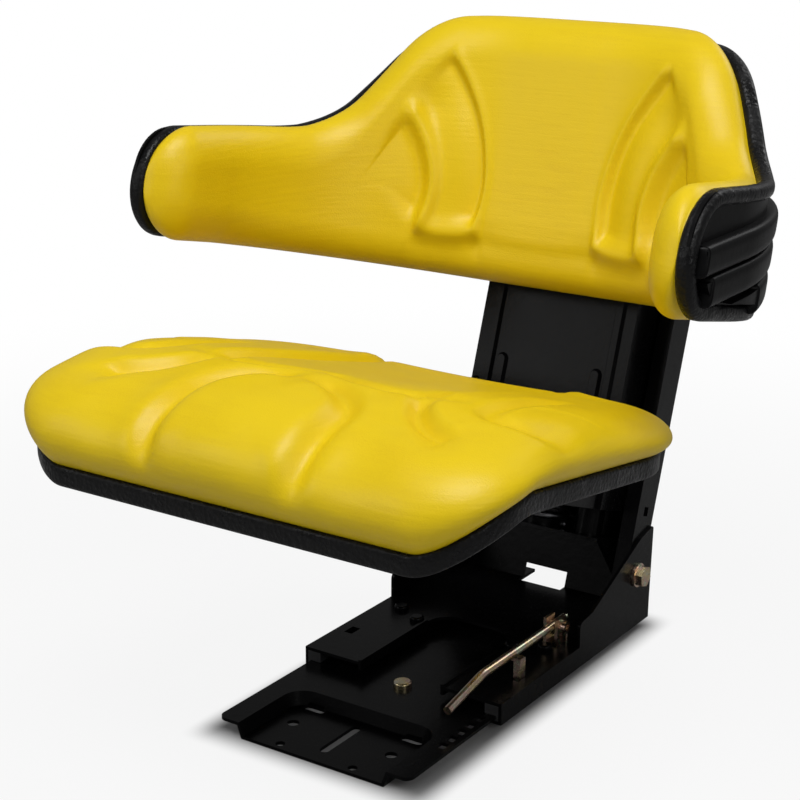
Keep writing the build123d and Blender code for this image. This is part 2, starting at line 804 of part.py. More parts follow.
# Cap across the inner mast that bears on the spring, with the bump rubber under it
with BuildPart() as cap:
    with BuildSketch(lean.offset(cap_u)):
        with Locations((0, (inner_rear - inner_front) / 2)):
            Rectangle(2 * (inner_half - steel), inner_rear + inner_front - 2 * steel)
    extrude(amount=-steel)
    with BuildSketch(lean.offset(cap_u - steel)):
        with Locations((0, spring_b)):
            Circle(spring_d / 2 - spring_wire - run_gap)
    extrude(amount=-spring_wire)
finish(cap, "spring_cap")

with BuildPart() as bump:
    with BuildSketch(lean.offset(cap_u - steel)):
        with Locations((bump_x, spring_b)):
            Circle(bump_d / 2)
    extrude(amount=steel - bump_height, taper=8)
finish(bump, "bump_buffer")

# Lever bracket: a folded clip on the deck, its pin and the return spring round the pin
clip_half = lever_rod_d / 2 + run_gap
clip_top = lever_z + lever_rod_d
pin_half = clip_half + 2 * steel
with BuildPart() as clip:
    with BuildSketch(Plane.XZ.offset(-lever_pivot_y)):
        with BuildLine():
            Polyline(
                (lever_x - clip_half - steel, deck_top),
                (lever_x - clip_half - steel, clip_top),
                (lever_x - clip_half, clip_top),
                (lever_x - clip_half, deck_top + steel),
                (lever_x + clip_half, deck_top + steel),
                (lever_x + clip_half, clip_top),
                (lever_x + clip_half + steel, clip_top),
                (lever_x + clip_half + steel, deck_top),
                close=True,
            )
        make_face()
    extrude(amount=lever_rod_d, both=True)
    with BuildSketch(Plane.YZ.offset(lever_x)):
        with Locations((lever_pivot_y, lever_z)):
            Circle(lever_pin_d / 2)
    extrude(amount=2 * pin_half, both=True, mode=Mode.SUBTRACT)
finish(clip, "lever_bracket")

with BuildPart() as lever_pin:
    with BuildSketch(Plane.YZ.offset(lever_x - pin_half)):
        with Locations((lever_pivot_y, lever_z)):
            Circle(lever_pin_d / 2)
    extrude(amount=2 * pin_half)
finish(lever_pin, "lever_pin")

# Slide lever: a bent rod with an eye on the pin and a latch tooth that rides on the tray's flange
lever_tip_z = lever_z - lever_tip_drop
with BuildPart() as lever:
    with BuildLine() as rod_line:
        FilletPolyline(
            (lever_x, lever_tail_y, lever_z),
            (lever_x, lever_bend_y, lever_z),
            (lever_x, lever_tip_y, lever_tip_z),
            radius=lever_bend_radius,
        )
    with BuildSketch(Plane(origin=rod_line.line @ 0, z_dir=rod_line.line % 0)):
        Circle(lever_rod_d / 2)
    sweep(path=rod_line.line)
    with BuildSketch(Plane.YZ.offset(lever_x)):
        with Locations((lever_pivot_y, lever_z)):
            Circle(lever_pin_d / 2 + run_gap)
    extrude(amount=lever_rod_d, both=True, mode=Mode.SUBTRACT)
    with BuildSketch(Plane.XZ.offset(-latch_y)):
        with BuildLine():
            Polyline(
                (lever_x, lever_z + steel / 2),
                (latch_x + latch_width / 2, lever_z + steel / 2),
                (latch_x + latch_width / 2, base_rise + run_gap),
                (latch_x - latch_width / 2, base_rise + run_gap),
                (latch_x - latch_width / 2, lever_z - steel / 2),
                (lever_x, lever_z - steel / 2),
                close=True,
            )
        make_face()
    extrude(amount=latch_length / 2, both=True)
finish(lever, "slide_lever")

spring_x = lever_x + clip_half + steel
with BuildPart() as lever_spring:
    with BuildSketch(Plane.YZ.offset(spring_x)):
        with Locations((lever_pivot_y, lever_z)):
            Circle(lever_pin_d)
            Circle(lever_pin_d / 2 + seat_gap / 3, mode=Mode.SUBTRACT)
    extrude(amount=2 * steel)
    with BuildSketch(Plane.XY.offset(deck_top)):
        with Locations((spring_x + steel, lever_pivot_y + lever_pin_d * 0.75)):
            Circle(lever_pin_d / 6)
    extrude(amount=lever_z - deck_top)
finish(lever_spring, "lever_spring")

# Seat arms: pressed gussets from the inner mast forwards under the pan, clear of its rear rim
arm_low = inner_bottom * lean_z + inner_front * lean_y
arm_seat_y = pan_rear - trim_tuck - steel
arm_drop_z = pan_z(pan_rear) - pan_rim - trim_foot - steel
tie_z = pan_z(tie_y) - pan_sheet - steel - tie_d * 0.6
for side, side_name in ((1, "left"), (-1, "right")):
    with BuildPart() as seat_arm:
        with BuildSketch(Plane.YZ.offset(side * arm_x)):
            with BuildLine():
                Polyline(
                    (arm_front_y, pan_z(arm_front_y) - pan_sheet),
                    (arm_seat_y, pan_z(arm_seat_y) - pan_sheet),
                    (arm_seat_y, arm_drop_z),
                    (web_y(arm_drop_z), arm_drop_z),
                    (web_y(arm_low), arm_low),
                    (arm_front_y, pan_z(arm_front_y) - pan_sheet - arm_front_depth),
                    close=True,
                )
            make_face()
        extrude(amount=side * steel)
        with BuildSketch(Plane.YZ.offset(side * arm_x)):
            with BuildLine():
                Polyline(
                    (arm_front_y, pan_z(arm_front_y) - pan_sheet),
                    (arm_seat_y, pan_z(arm_seat_y) - pan_sheet),
                    (arm_seat_y, pan_z(arm_seat_y) - pan_sheet - steel),
                    (arm_front_y, pan_z(arm_front_y) - pan_sheet - steel),
                    close=True,
                )
            make_face()
        extrude(amount=side * arm_flange)
    finish(seat_arm, f"seat_arm_{side_name}")
    for bolt_index, bolt_y in enumerate(seat_bolt_ys, start=1):
        bolt_spot = (side * (arm_x + arm_flange / 2 + steel), bolt_y, pan_z(bolt_y) - pan_sheet - steel)
        with BuildPart() as seat_bolt:
            with BuildSketch(Plane(origin=bolt_spot, x_dir=(1, 0, 0), z_dir=(0, -pan_slope, -1))):
                RegularPolygon(seat_bolt_d / 2, 6)
            extrude(amount=seat_bolt_height)
        finish(seat_bolt, f"seat_bolt_{side_name}_{bolt_index}")

with BuildPart() as tie:
    with BuildSketch(Plane.YZ.offset(-arm_x)):
        with Locations((tie_y, tie_z)):
            Circle(tie_d / 2)
            Circle(tie_d / 2 - damper_wall, mode=Mode.SUBTRACT)
    extrude(amount=2 * arm_x)
finish(tie, "front_tie_tube")

# Seat pan: a dished sheet with a rim turned down
with BuildPart() as seat_pan:
    add(pan_layer(0, pan_rim))
    add(pan_prism(0), mode=Mode.INTERSECT)
    hollow = pan_layer(pan_sheet, pan_rim * 2) & pan_prism(-pan_sheet)
    add(hollow, mode=Mode.SUBTRACT)
finish(seat_pan, "seat_pan")

# Seat trim: a rubber channel pushed up over the rim
with BuildPart() as seat_trim:
    add(pan_layer(0, pan_rim + trim_foot))
    add(pan_prism(trim_wall), mode=Mode.INTERSECT)
    add(pan_layer(-pan_rim, pan_rim) & pan_prism(0), mode=Mode.SUBTRACT)
    add(pan_layer(0, 2 * pan_rim) & pan_prism(-trim_tuck), mode=Mode.SUBTRACT)
finish(seat_trim, "seat_trim")

# Seat cushion: cross-sections from the rolled front edge to the rounded rear, over the pan's curve
cushion_half = pan_half + cushion_bulge
cushion_floor = pan_rear_z - 2 * pan_rim
front_span = cushion_crest_y - pan_front + cushion_bulge
rear_span = pan_rear + cushion_bulge - cushion_crest_y
seat_rows = []
for share in (0.0, 0.05, 0.13, 0.24, 0.36, 0.48, 0.60, 0.72, 0.86):
    row_y = pan_front - cushion_bulge + share * front_span
    ahead = max(1 - share / front_share, 0)
    row_half = cushion_half - pan_front_corner * 1.2 * ahead ** 2.4
    row_top = cushion_crest_z - (cushion_crest_z - cushion_front_z) * ahead ** 2.6
    seat_rows.append((row_y, row_half, row_top))
for share in (0.0, 0.22, 0.44, 0.62, 0.76, 0.87, 0.95, 1.0):
    row_y = cushion_crest_y + share * rear_span
    behind = max((share - rear_share) / (1 - rear_share), 0)
    row_half = cushion_half - pan_rear_corner * 0.85 * behind ** 2.2
    row_top = cushion_crest_z - cushion_top_slope * share * rear_span - cushion_bulge * behind ** 3
    seat_rows.append((row_y, row_half, row_top))
seat_sections = []
for row_y, row_half, row_top in seat_rows:
    row_round = min(cushion_round, (row_top - pan_rear_z) * 0.55)
    side_points = [(row_half, cushion_floor)]
    for angle in (0, 25, 50, 70):
        out = row_round * (1 - cos(radians(angle)))
        side_points.append((row_half - out, row_top - row_round * (1 - sin(radians(angle)))))
    inner = row_half - row_round
    shown = [(inner * share, row_top + seat_relief(inner * share, row_y)) for share in top_shares]
    left_points = side_points + shown
    right_points = [(-x, z) for x, z in left_points[:-1]][::-1]
    seat_sections.append([Vector(x, row_y, z) for x, z in left_points + right_points])
with BuildPart() as seat_cushion:
    add(pad_loft(seat_sections))
    add(pan_layer(0, cushion_crest_z), mode=Mode.SUBTRACT)
finish(seat_cushion, "seat_cushion")

# Back pan: a pressed shell that wraps round the sitter, with ribs round its outside
with BuildPart() as back_pan:
    add(back_band(0, back_sheet))
    add(back_outline(seat_gap * 4), mode=Mode.INTERSECT)
    ribs = back_band(-rib_out, 0) & back_outline(back_trim_band + steel)
    for rib_index in range(rib_count):
        rib_z = rib_first_z + rib_index * rib_pitch
        rib_slab = Pos(0, 0, rib_z) * Box(4 * back_half, 4 * back_half, rib_height, mode=Mode.PRIVATE)
        add(ribs & rib_slab)
finish(back_pan, "back_pan")

# Back trim: a rubber channel over the shell's whole edge
with BuildPart() as back_trim:
    add(back_band(-back_trim_out, back_sheet + back_trim_in))
    add(back_outline(0), mode=Mode.INTERSECT)
    add(back_outline(back_trim_band), mode=Mode.SUBTRACT)
    add(back_band(0, back_sheet) & back_outline(seat_gap * 4), mode=Mode.SUBTRACT)
finish(back_trim, "back_trim")

# Back cushion: a pad inside the shell that rolls over the trim
pad_places = [back_end_s - left for left in pad_nose_lefts]
pad_places += [back_arm_s + (pad_places[-1] - back_arm_s) * share for share in (0.67, 0.33)]
pad_places += [back_flat + back_corner * radians(angle) for angle in range(90, -1, -pad_step)]
pad_places += [0] + [-place for place in pad_places[::-1]]
with BuildPart() as back_cushion:
    add(pad_loft([pad_section(place) for place in pad_places]))
finish(back_cushion, "back_cushion")

# Hat-shaped brackets from the inner mast to the shell, with their bolts
for bracket_z, bracket_name in zip(bracket_zs, ("lower", "upper")):
    low = bracket_z - bracket_height / 2
    high = bracket_z + bracket_height / 2
    with BuildPart() as bracket:
        with BuildSketch(Plane.YZ):
            with BuildLine():
                Polyline(
                    (back_y(low), low),
                    (web_y(low), low),
                    (web_y(high), high),
                    (back_y(high), high),
                    close=True,
                )
            make_face()
            with BuildLine():
                Polyline(
                    (back_y(low + steel) + steel, low + steel),
                    (web_y(low + steel) + steel, low + steel),
                    (web_y(high - steel) + steel, high - steel),
                    (back_y(high - steel) + steel, high - steel),
                    close=True,
                )
            make_face(mode=Mode.SUBTRACT)
        extrude(amount=bracket_half, both=True)
    finish(bracket, f"back_bracket_{bracket_name}")
    for side, side_name in ((1, "left"), (-1, "right")):
        bolt_u = (bracket_z - inner_front * lean_y) / lean_z
        with BuildPart() as back_bolt:
            bolt_spot = lean.from_local_coords((side * back_bolt_x, steel - inner_front, bolt_u))
            with BuildSketch(Plane(origin=bolt_spot, x_dir=(1, 0, 0), z_dir=lean.y_dir)):
                RegularPolygon(back_bolt_d / 2, 6)
            extrude(amount=back_bolt_height)
        finish(back_bolt, f"back_bolt_{bracket_name}_{side_name}")
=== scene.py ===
"""Looks of a sprung tractor seat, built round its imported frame.

Metres, +Z up. The sitter faces -Y and +X is the sitter's left.
"""

import json
import logging
import math
from dataclasses import dataclass
from enum import Enum
from typing import Any, Mapping, Sequence

import bpy
import numpy as np
from mathutils import Matrix, Vector


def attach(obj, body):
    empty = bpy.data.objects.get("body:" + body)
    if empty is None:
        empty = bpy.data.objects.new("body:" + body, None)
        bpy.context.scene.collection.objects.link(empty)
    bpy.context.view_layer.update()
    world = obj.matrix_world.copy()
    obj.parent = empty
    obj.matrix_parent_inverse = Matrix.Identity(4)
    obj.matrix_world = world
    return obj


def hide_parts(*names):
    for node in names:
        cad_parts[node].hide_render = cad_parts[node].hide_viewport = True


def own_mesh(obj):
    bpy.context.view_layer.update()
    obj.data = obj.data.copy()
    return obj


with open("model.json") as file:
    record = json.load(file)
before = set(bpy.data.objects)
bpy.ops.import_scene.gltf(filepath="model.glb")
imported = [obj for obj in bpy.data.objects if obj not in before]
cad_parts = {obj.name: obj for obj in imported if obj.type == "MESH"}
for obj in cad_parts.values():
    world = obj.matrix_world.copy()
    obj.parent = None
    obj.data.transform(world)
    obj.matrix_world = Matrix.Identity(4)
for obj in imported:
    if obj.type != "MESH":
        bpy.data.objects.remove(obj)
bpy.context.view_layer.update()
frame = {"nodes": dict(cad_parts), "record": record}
log = logging.getLogger("tractor_seat")

Array = np.ndarray
Color = tuple[float, float, float]
Faces = list[tuple[int, ...]]
Material = bpy.types.Material
Object = bpy.types.Object
Socket = bpy.types.NodeSocket
QUARTER_TURN = 0.5 * math.pi
FULL_TURN = 2.0 * math.pi


class Value:
    """A number on a shader socket that takes Python's arithmetic, one Math node for each operator."""

    def __init__(self, tree: "Tree", socket: Socket) -> None:
        """Keep the tree and the socket that gives the number."""
        self.tree = tree
        self.socket = socket

    def _math(self, operation: str, first: Any, second: Any) -> "Value":
        """Add one Math node."""
        node = self.tree.node("ShaderNodeMath", {"operation": operation}, {0: first, 1: second})
        return Value(self.tree, node.outputs[0])

    def __add__(self, other: Any) -> "Value":
        """Sum."""
        return self._math("ADD", self, other)

    def __radd__(self, other: Any) -> "Value":
        """Sum with a plain number on the left."""
        return self._math("ADD", other, self)

    def __sub__(self, other: Any) -> "Value":
        """Difference."""
        return self._math("SUBTRACT", self, other)

    def __rsub__(self, other: Any) -> "Value":
        """Difference from a plain number on the left."""
        return self._math("SUBTRACT", other, self)

    def __mul__(self, other: Any) -> "Value":
        """Product."""
        return self._math("MULTIPLY", self, other)

    def __rmul__(self, other: Any) -> "Value":
        """Product with a plain number on the left."""
        return self._math("MULTIPLY", other, self)

    def __pow__(self, other: Any) -> "Value":
        """Power."""
        return self._math("POWER", self, other)

    def smooth(self, low: float, high: float) -> "Value":
        """Share of the way from low to high, eased at both ends."""
        node = self.tree.node(
            "ShaderNodeMapRange",
            {"interpolation_type": "SMOOTHSTEP"},
            {"Value": self, "From Min": low, "From Max": high},
        )
        return Value(self.tree, node.outputs["Result"])


class Tree:
    """Node tree of one material, with its shader and output in place."""

    def __init__(self, name: str) -> None:
        """Make an empty material with a Principled shader."""
        self.material = bpy.data.materials.new(name)
        self.material.use_nodes = True
        self.nodes = self.material.node_tree.nodes
        self.links = self.material.node_tree.links
        self.nodes.clear()
        self.output = self.nodes.new("ShaderNodeOutputMaterial")
        self.shader = self.node("ShaderNodeBsdfPrincipled")
        self.links.new(self.shader.outputs[0], self.output.inputs["Surface"])
        self.place = self.node("ShaderNodeTexCoord").outputs["Object"]

    def node(
        self,
        kind: str,
        settings: Mapping[str, Any] | None = None,
        inputs: Mapping[int | str, Any] | None = None,
    ) -> bpy.types.Node:
        """Add a node, set it up and fill its sockets.

        Args:
            kind: Blender's type name of the node.
            settings: Properties of the node, with "stops" for a colour ramp.
            inputs: Values, colours, sockets or Values for its inputs, by name or number.

        Returns:
            The node.
        """
        node = self.nodes.new(kind)
        for key, setting in (settings or {}).items():
            if key == "stops":
                self._set_stops(node, setting)
            else:
                setattr(node, key, setting)
        for key, given in (inputs or {}).items():
            self.feed(node.inputs[key], given)
        return node

    def _set_stops(self, node: bpy.types.Node, stops: Sequence[tuple[float, Color]]) -> None:
        """Give a colour ramp its stops."""
        elements = node.color_ramp.elements
        while len(elements) < len(stops):
            elements.new(1.0)
        for element, (position, color) in zip(elements, stops):
            element.position = position
            element.color = (*color, 1.0)

    def feed(self, socket: Socket, given: Any) -> None:
        """Set or link one input socket."""
        if isinstance(given, Value):
            self.links.new(given.socket, socket)
        elif isinstance(given, Socket):
            self.links.new(given, socket)
        elif isinstance(given, tuple) and len(given) == 3 and socket.type == "RGBA":
            socket.default_value = (*given, 1.0)
        else:
            socket.default_value = given

    def stretched(self, stretch: Color) -> Socket:
        """Object coordinates with each axis multiplied, so that a pattern runs along one of them."""
        settings = {"operation": "MULTIPLY"}
        return self.node("ShaderNodeVectorMath", settings, {0: self.place, 1: stretch}).outputs[0]

    def noise(self, scale: float, detail: float, stretch: Color = (1.0, 1.0, 1.0)) -> Value:
        """Fractal noise over the object's own coordinates."""
        inputs = {"Vector": self.stretched(stretch), "Scale": scale, "Detail": detail}
        return Value(self, self.node("ShaderNodeTexNoise", None, inputs).outputs[0])

    def cells(self, scale: float) -> Value:
        """Distance to the nearest of many scattered points, 0 at each point."""
        settings = {"feature": "SMOOTH_F1"}
        inputs = {"Vector": self.place, "Scale": scale, "Smoothness": 0.35}
        return Value(self, self.node("ShaderNodeTexVoronoi", settings, inputs).outputs["Distance"])

    def ramp(self, factor: Value, stops: Sequence[tuple[float, Color]]) -> Socket:
        """Colour along a ramp."""
        return self.node("ShaderNodeValToRGB", {"stops": stops}, {"Fac": factor}).outputs["Color"]

    def set(self, **inputs: Any) -> None:
        """Fill inputs of the Principled shader, with underscores for spaces in their names."""
        for key, given in inputs.items():
            self.feed(self.shader.inputs[key.replace("_", " ")], given)

    def bump(self, height: Value, distance: float, strength: float) -> None:
        """Raise the surface by a height field."""
        inputs = {"Height": height, "Distance": distance, "Strength": strength}
        self.set(Normal=self.node("ShaderNodeBump", None, inputs).outputs["Normal"])


@dataclass(frozen=True)
class CoverVinyl:
    """Grained yellow vinyl stretched over foam."""

    name: str = "yellow_cover"
    color: Color = (0.760, 0.540, 0.003)
    deep_color: Color = (0.710, 0.485, 0.003)
    grain_scale: float = 820.0
    pull_scale: float = 22.0
    pull_stretch: Color = (1.0, 1.0, 13.0)
    roughness: float = 0.40

    def material(self) -> Material:
        """Build the material."""
        tree = Tree(self.name)
        grain = 1.0 - tree.cells(self.grain_scale)
        fine = tree.noise(self.grain_scale * 2.4, 2.0)
        pull = tree.noise(self.pull_scale, 4.0, self.pull_stretch)
        cloud = tree.noise(9.0, 2.0)
        tone = (cloud * 0.6 + pull * 0.4).smooth(0.3, 0.7)
        stops = ((0.0, self.deep_color), (0.55, self.color), (1.0, self.color))
        tree.set(Base_Color=tree.ramp(tone * 0.6 + grain * 0.4, stops))
        tree.set(Roughness=self.roughness + 0.10 * (fine - 0.5) + 0.06 * (cloud - 0.5))
        tree.set(Specular_IOR_Level=0.34)
        tree.bump(grain * 0.45 + fine * 0.2 + pull.smooth(0.3, 0.7) * 0.35, 0.00030, 0.7)
        return tree.material


@dataclass(frozen=True)
class EdgeRubber:
    """Black extruded edge trim with a crinkled, partly shiny skin."""

    name: str = "edge_rubber"
    color: Color = (0.0030, 0.0030, 0.0032)
    crinkle_scale: float = 260.0

    def material(self) -> Material:
        """Build the material."""
        tree = Tree(self.name)
        crinkle = tree.cells(self.crinkle_scale)
        fine = tree.noise(self.crinkle_scale * 2.5, 4.0)
        patch = tree.noise(28.0, 3.0)
        shine = patch.smooth(0.45, 0.62)
        tree.set(Base_Color=tree.ramp(fine, ((0.3, self.color), (0.8, (0.0065, 0.0065, 0.007)))))
        tree.set(Roughness=0.40 - 0.18 * shine + 0.12 * (fine - 0.5), Specular_IOR_Level=0.18)
        tree.bump(crinkle * 0.6 + fine * 0.4, 0.0010, 0.9)
        return tree.material


@dataclass(frozen=True)
class StovePaint:
    """Black paint on pressed steel, with the faint ripple of a sprayed coat."""

    name: str
    color: Color = (0.0016, 0.0016, 0.0018)
    roughness: float = 0.24
    ripple_scale: float = 160.0

    def material(self) -> Material:
        """Build the material."""
        tree = Tree(self.name)
        ripple = tree.noise(self.ripple_scale, 2.0)
        haze = tree.noise(14.0, 4.0)
        speck = tree.noise(900.0, 2.0).smooth(0.66, 0.74)
        stops = ((0.35, self.color), (0.75, (0.0030, 0.0030, 0.0033)))
        tree.set(Base_Color=tree.ramp(haze, stops))
        tree.set(Roughness=self.roughness + 0.16 * (haze - 0.5) + 0.1 * speck, Specular_IOR_Level=0.10)
        tree.bump(ripple * 0.85 + speck * 0.15, 0.00022, 0.6)
        return tree.material


@dataclass(frozen=True)
class PassivatedZinc:
    """Zinc plate with a yellow passivation that shifts from gold to pink and green."""

    name: str = "zinc_steel"

    def material(self) -> Material:
        """Build the material."""
        tree = Tree(self.name)
        tint = tree.noise(70.0, 3.0)
        draw = tree.noise(40.0, 3.0, (6.0, 1.0, 6.0))
        stops = (
            (0.30, (0.62, 0.62, 0.58)),
            (0.44, (0.68, 0.56, 0.30)),
            (0.54, (0.62, 0.42, 0.36)),
            (0.62, (0.52, 0.58, 0.42)),
            (0.72, (0.64, 0.58, 0.40)),
        )
        tree.set(Base_Color=tree.ramp(tint * 0.8 + draw * 0.2, stops), Metallic=1.0)
        tree.set(Roughness=0.26 + 0.24 * (draw - 0.4))
        tree.bump(draw, 0.0001, 0.5)
        return tree.material


@dataclass(frozen=True)
class BareSteel:
    """Oiled spring steel with drawing lines."""

    name: str = "bare_steel"

    def material(self) -> Material:
        """Build the material."""
        tree = Tree(self.name)
        draw = tree.noise(120.0, 4.0)
        tree.set(Base_Color=tree.ramp(draw, ((0.3, (0.09, 0.09, 0.095)), (0.7, (0.2, 0.2, 0.21)))))
        tree.set(Metallic=1.0, Roughness=0.34 + 0.2 * (draw - 0.5))
        tree.bump(draw, 0.0001, 0.4)
        return tree.material


@dataclass(frozen=True)
class MouldedPolymer:
    """Matt moulded nylon or rubber with a fine texture."""

    name: str
    color: Color = (0.012, 0.012, 0.013)
    roughness: float = 0.55

    def material(self) -> Material:
        """Build the material."""
        tree = Tree(self.name)
        texture = tree.noise(1400.0, 3.0)
        cloud = tree.noise(35.0, 2.0)
        pale = tuple(channel * 1.6 for channel in self.color)
        tree.set(Base_Color=tree.ramp(cloud, ((0.3, self.color), (0.75, pale))))
        tree.set(Roughness=self.roughness + 0.16 * (texture - 0.5))
        tree.bump(texture, 0.00012, 0.6)
        return tree.material


def finishes() -> dict[str, Material]:
    """Build one material for each slot of the record."""
    made = (
        CoverVinyl(),
        EdgeRubber(),
        MouldedPolymer("buffer_rubber", roughness=0.62),
        MouldedPolymer("nylon", (0.02, 0.02, 0.021), 0.45),
        PassivatedZinc(),
        BareSteel(),
        StovePaint("pan_black", roughness=0.38),
        StovePaint("black_paint"),
    )
    return {finish.name: finish.material() for finish in made}


def smooth_step(low: float, high: float, value: Array) -> Array:
    """Eased share of the way from low to high."""
    share = np.clip((value - low) / (high - low), 0.0, 1.0)
    return share * share * (3.0 - 2.0 * share)


def soft_min(first: Array, second: Array, reach: float) -> Array:
    """Lower of two curves with the corner between them rounded."""
    share = np.clip(0.5 + 0.5 * (second - first) / reach, 0.0, 1.0)
    return second * (1.0 - share) + first * share - reach * share * (1.0 - share)


def spline(points: Sequence[tuple[float, float]], count: int = 24) -> Array:
    """Smooth open curve through given points."""
    knots = np.array(points, float)
    padded = np.vstack((2 * knots[0] - knots[1], knots, 2 * knots[-1] - knots[-2]))
    share = np.linspace(0.0, 1.0, count, endpoint=False)[:, None]
    spans = []
    for a, b, c, d in zip(padded, padded[1:], padded[2:], padded[3:]):
        cubic = 3 * b - a - 3 * c + d
        square = 2 * a - 5 * b + 4 * c - d
        spans.append(0.5 * (2 * b + (c - a) * share + square * share**2 + cubic * share**3))
    return np.vstack((*spans, knots[-1:]))


def near_curve(places: Array, curve: Array) -> tuple[Array, Array, Array]:
    """Measure places against a curve.

    Args:
        places: Places in a plane.
        curve: Points along the curve.

    Returns:
        Distance to the curve, share of its length at the nearest point, and +1 or -1 for the left
        or right of its run.
    """
    start = curve[:-1]
    run = curve[1:] - start
    length = np.maximum((run**2).sum(1), 1e-12)
    steps = np.concatenate(([0.0], np.cumsum(np.sqrt(length))))
    best = np.full(len(places), np.inf)
    share = np.zeros(len(places))
    side = np.ones(len(places))
    for index in range(len(start)):
        offset = places - start[index]
        along = np.clip(offset @ run[index] / length[index], 0.0, 1.0)
        apart = offset - along[:, None] * run[index]
        gap = (apart**2).sum(1)
        closer = gap < best
        best[closer] = gap[closer]
        place = steps[index] + along * math.sqrt(length[index])
        share[closer] = place[closer] / steps[-1]
        turn = run[index, 0] * offset[:, 1] - run[index, 1] * offset[:, 0]
        side[closer] = np.where(turn[closer] >= 0.0, 1.0, -1.0)
    return np.sqrt(best), share, side


@dataclass(frozen=True)
class Fold:
    """Moulded line in a cushion: a groove with a swelling on each side of it.

    The swellings' heights are for the left and the right of the line's run.
    """

    points: tuple[tuple[float, float], ...]
    groove: float
    width: float
    left: float
    right: float
    reach: float
    fade: float

    def height(self, places: Array) -> Array:
        """Height that the fold adds."""
        gap, share, side = near_curve(places, spline(self.points))
        ends = smooth_step(0.0, self.fade, share) * smooth_step(0.0, self.fade, 1.0 - share)
        cut = np.exp(-((gap / self.width) ** 2))
        swell = (1.0 - cut) * np.exp(-((gap / self.reach) ** 2))
        lift = np.where(side > 0.0, self.left, self.right)
        return ends * (lift * swell - self.groove * cut)


@dataclass(frozen=True)
class Mound:
    """Rounded pad or hollow with an oval plan."""

    center: tuple[float, float]
    radii: tuple[float, float]
    height_at_top: float

    def height(self, places: Array) -> Array:
        """Height that the mound adds."""
        spread = (((places - np.array(self.center)) / np.array(self.radii)) ** 2).sum(1)
        return self.height_at_top * np.exp(-spread)


def relief(folds: tuple[Fold, ...], mounds: tuple[Mound, ...], across: Array, along: Array) -> Array:
    """Height of a cushion's moulded relief, alike on both sides of the middle."""
    places = np.stack((np.abs(across).ravel(), along.ravel()), 1)
    total = sum(fold.height(places) for fold in folds)
    total = total + sum(mound.height(places) for mound in mounds)
    return total.reshape(across.shape)


def grid_normals(grid: Array) -> Array:
    """Unit normals of a grid of points, from its own rows and columns."""
    across = np.gradient(grid, axis=1)
    along = np.gradient(grid, axis=0)
    normal = np.cross(across, along)
    size = np.linalg.norm(normal, axis=2, keepdims=True)
    return normal / np.maximum(size, 1e-12)


def grid_faces(rows: int, columns: int, start: int, flip: bool) -> Faces:
    """Quads of a grid of points."""
    faces = []
    for row in range(rows - 1):
        low = start + row * columns
        high = low + columns
        for column in range(columns - 1):
            face = (low + column, low + column + 1, high + column + 1, high + column)
            faces.append(face[::-1] if flip else face)
    return faces


def tube_faces(rings: int, sides: int, closed: bool) -> Faces:
    """Quads of a tube of rings, whose last ring joins the first if it is closed."""
    faces = []
    for row in range(rings if closed else rings - 1):
        here = row * sides
        there = (row + 1) % rings * sides
        for side in range(sides):
            after = (side + 1) % sides
            faces.append((here + side, there + side, there + after, here + after))
    return faces


def new_piece(
    name: str,
    points: Array,
    faces: Faces,
    material: Material,
) -> Object:
    """Make a smooth-shaded mesh object."""
    mesh = bpy.data.meshes.new(name)
    mesh.from_pydata(points.tolist(), [], faces)
    mesh.materials.append(material)
    mesh.polygons.foreach_set("use_smooth", [True] * len(mesh.polygons))
    mesh.update()
    piece = bpy.data.objects.new(name, mesh)
    bpy.context.scene.collection.objects.link(piece)
    return piece


def closed_pad(name: str, front: Array, back: Array, material: Material) -> Object:
    """Join a front grid and a back grid with the same border into one closed pad."""
    rows, columns = front.shape[:2]
    count = rows * columns
    faces = grid_faces(rows, columns, 0, False) + grid_faces(rows, columns, count, True)
    number = np.arange(count).reshape(rows, columns)
    border = np.concatenate((number[0, :-1], number[:-1, -1], number[-1, :0:-1], number[:0:-1, 0]))
    for here, there in zip(border, np.roll(border, -1)):
        faces.append((int(there), int(here), int(here) + count, int(there) + count))
    points = np.vstack((front.reshape(-1, 3), back.reshape(-1, 3)))
    return new_piece(name, points, faces, material)


def rounded_bar(width: float, height: float, corner: float, steps: int = 5) -> Array:
    """Outline of a bar's section with round corners, about its own centre."""
    turns = np.linspace(0.0, QUARTER_TURN, steps)
    arc = corner * np.stack((np.cos(turns), np.sin(turns)), 1)
    middle = np.array((0.5 * width - corner, 0.5 * height - corner))
    quarters = []
    for quarter in range(4):
        angle = QUARTER_TURN * quarter
        spin = np.array(((math.cos(angle), math.sin(angle)), (-math.sin(angle), math.cos(angle))))
        signs = np.array(((1, 1), (-1, 1), (-1, -1), (1, -1)))[quarter]
        quarters.append(arc @ spin + middle * signs)
    return np.vstack(quarters)


def swept_loop(
    name: str,
    path: Array,
    first: Array,
    second: Array,
    section: Array,
    material: Material,
) -> Object:
    """Sweep a section round a closed path."""
    rings = path[:, None] + section[None, :, :1] * first[:, None] + section[None, :, 1:] * second[:, None]
    faces = tube_faces(len(path), len(section), True)
    return new_piece(name, rings.reshape(-1, 3), faces, material)


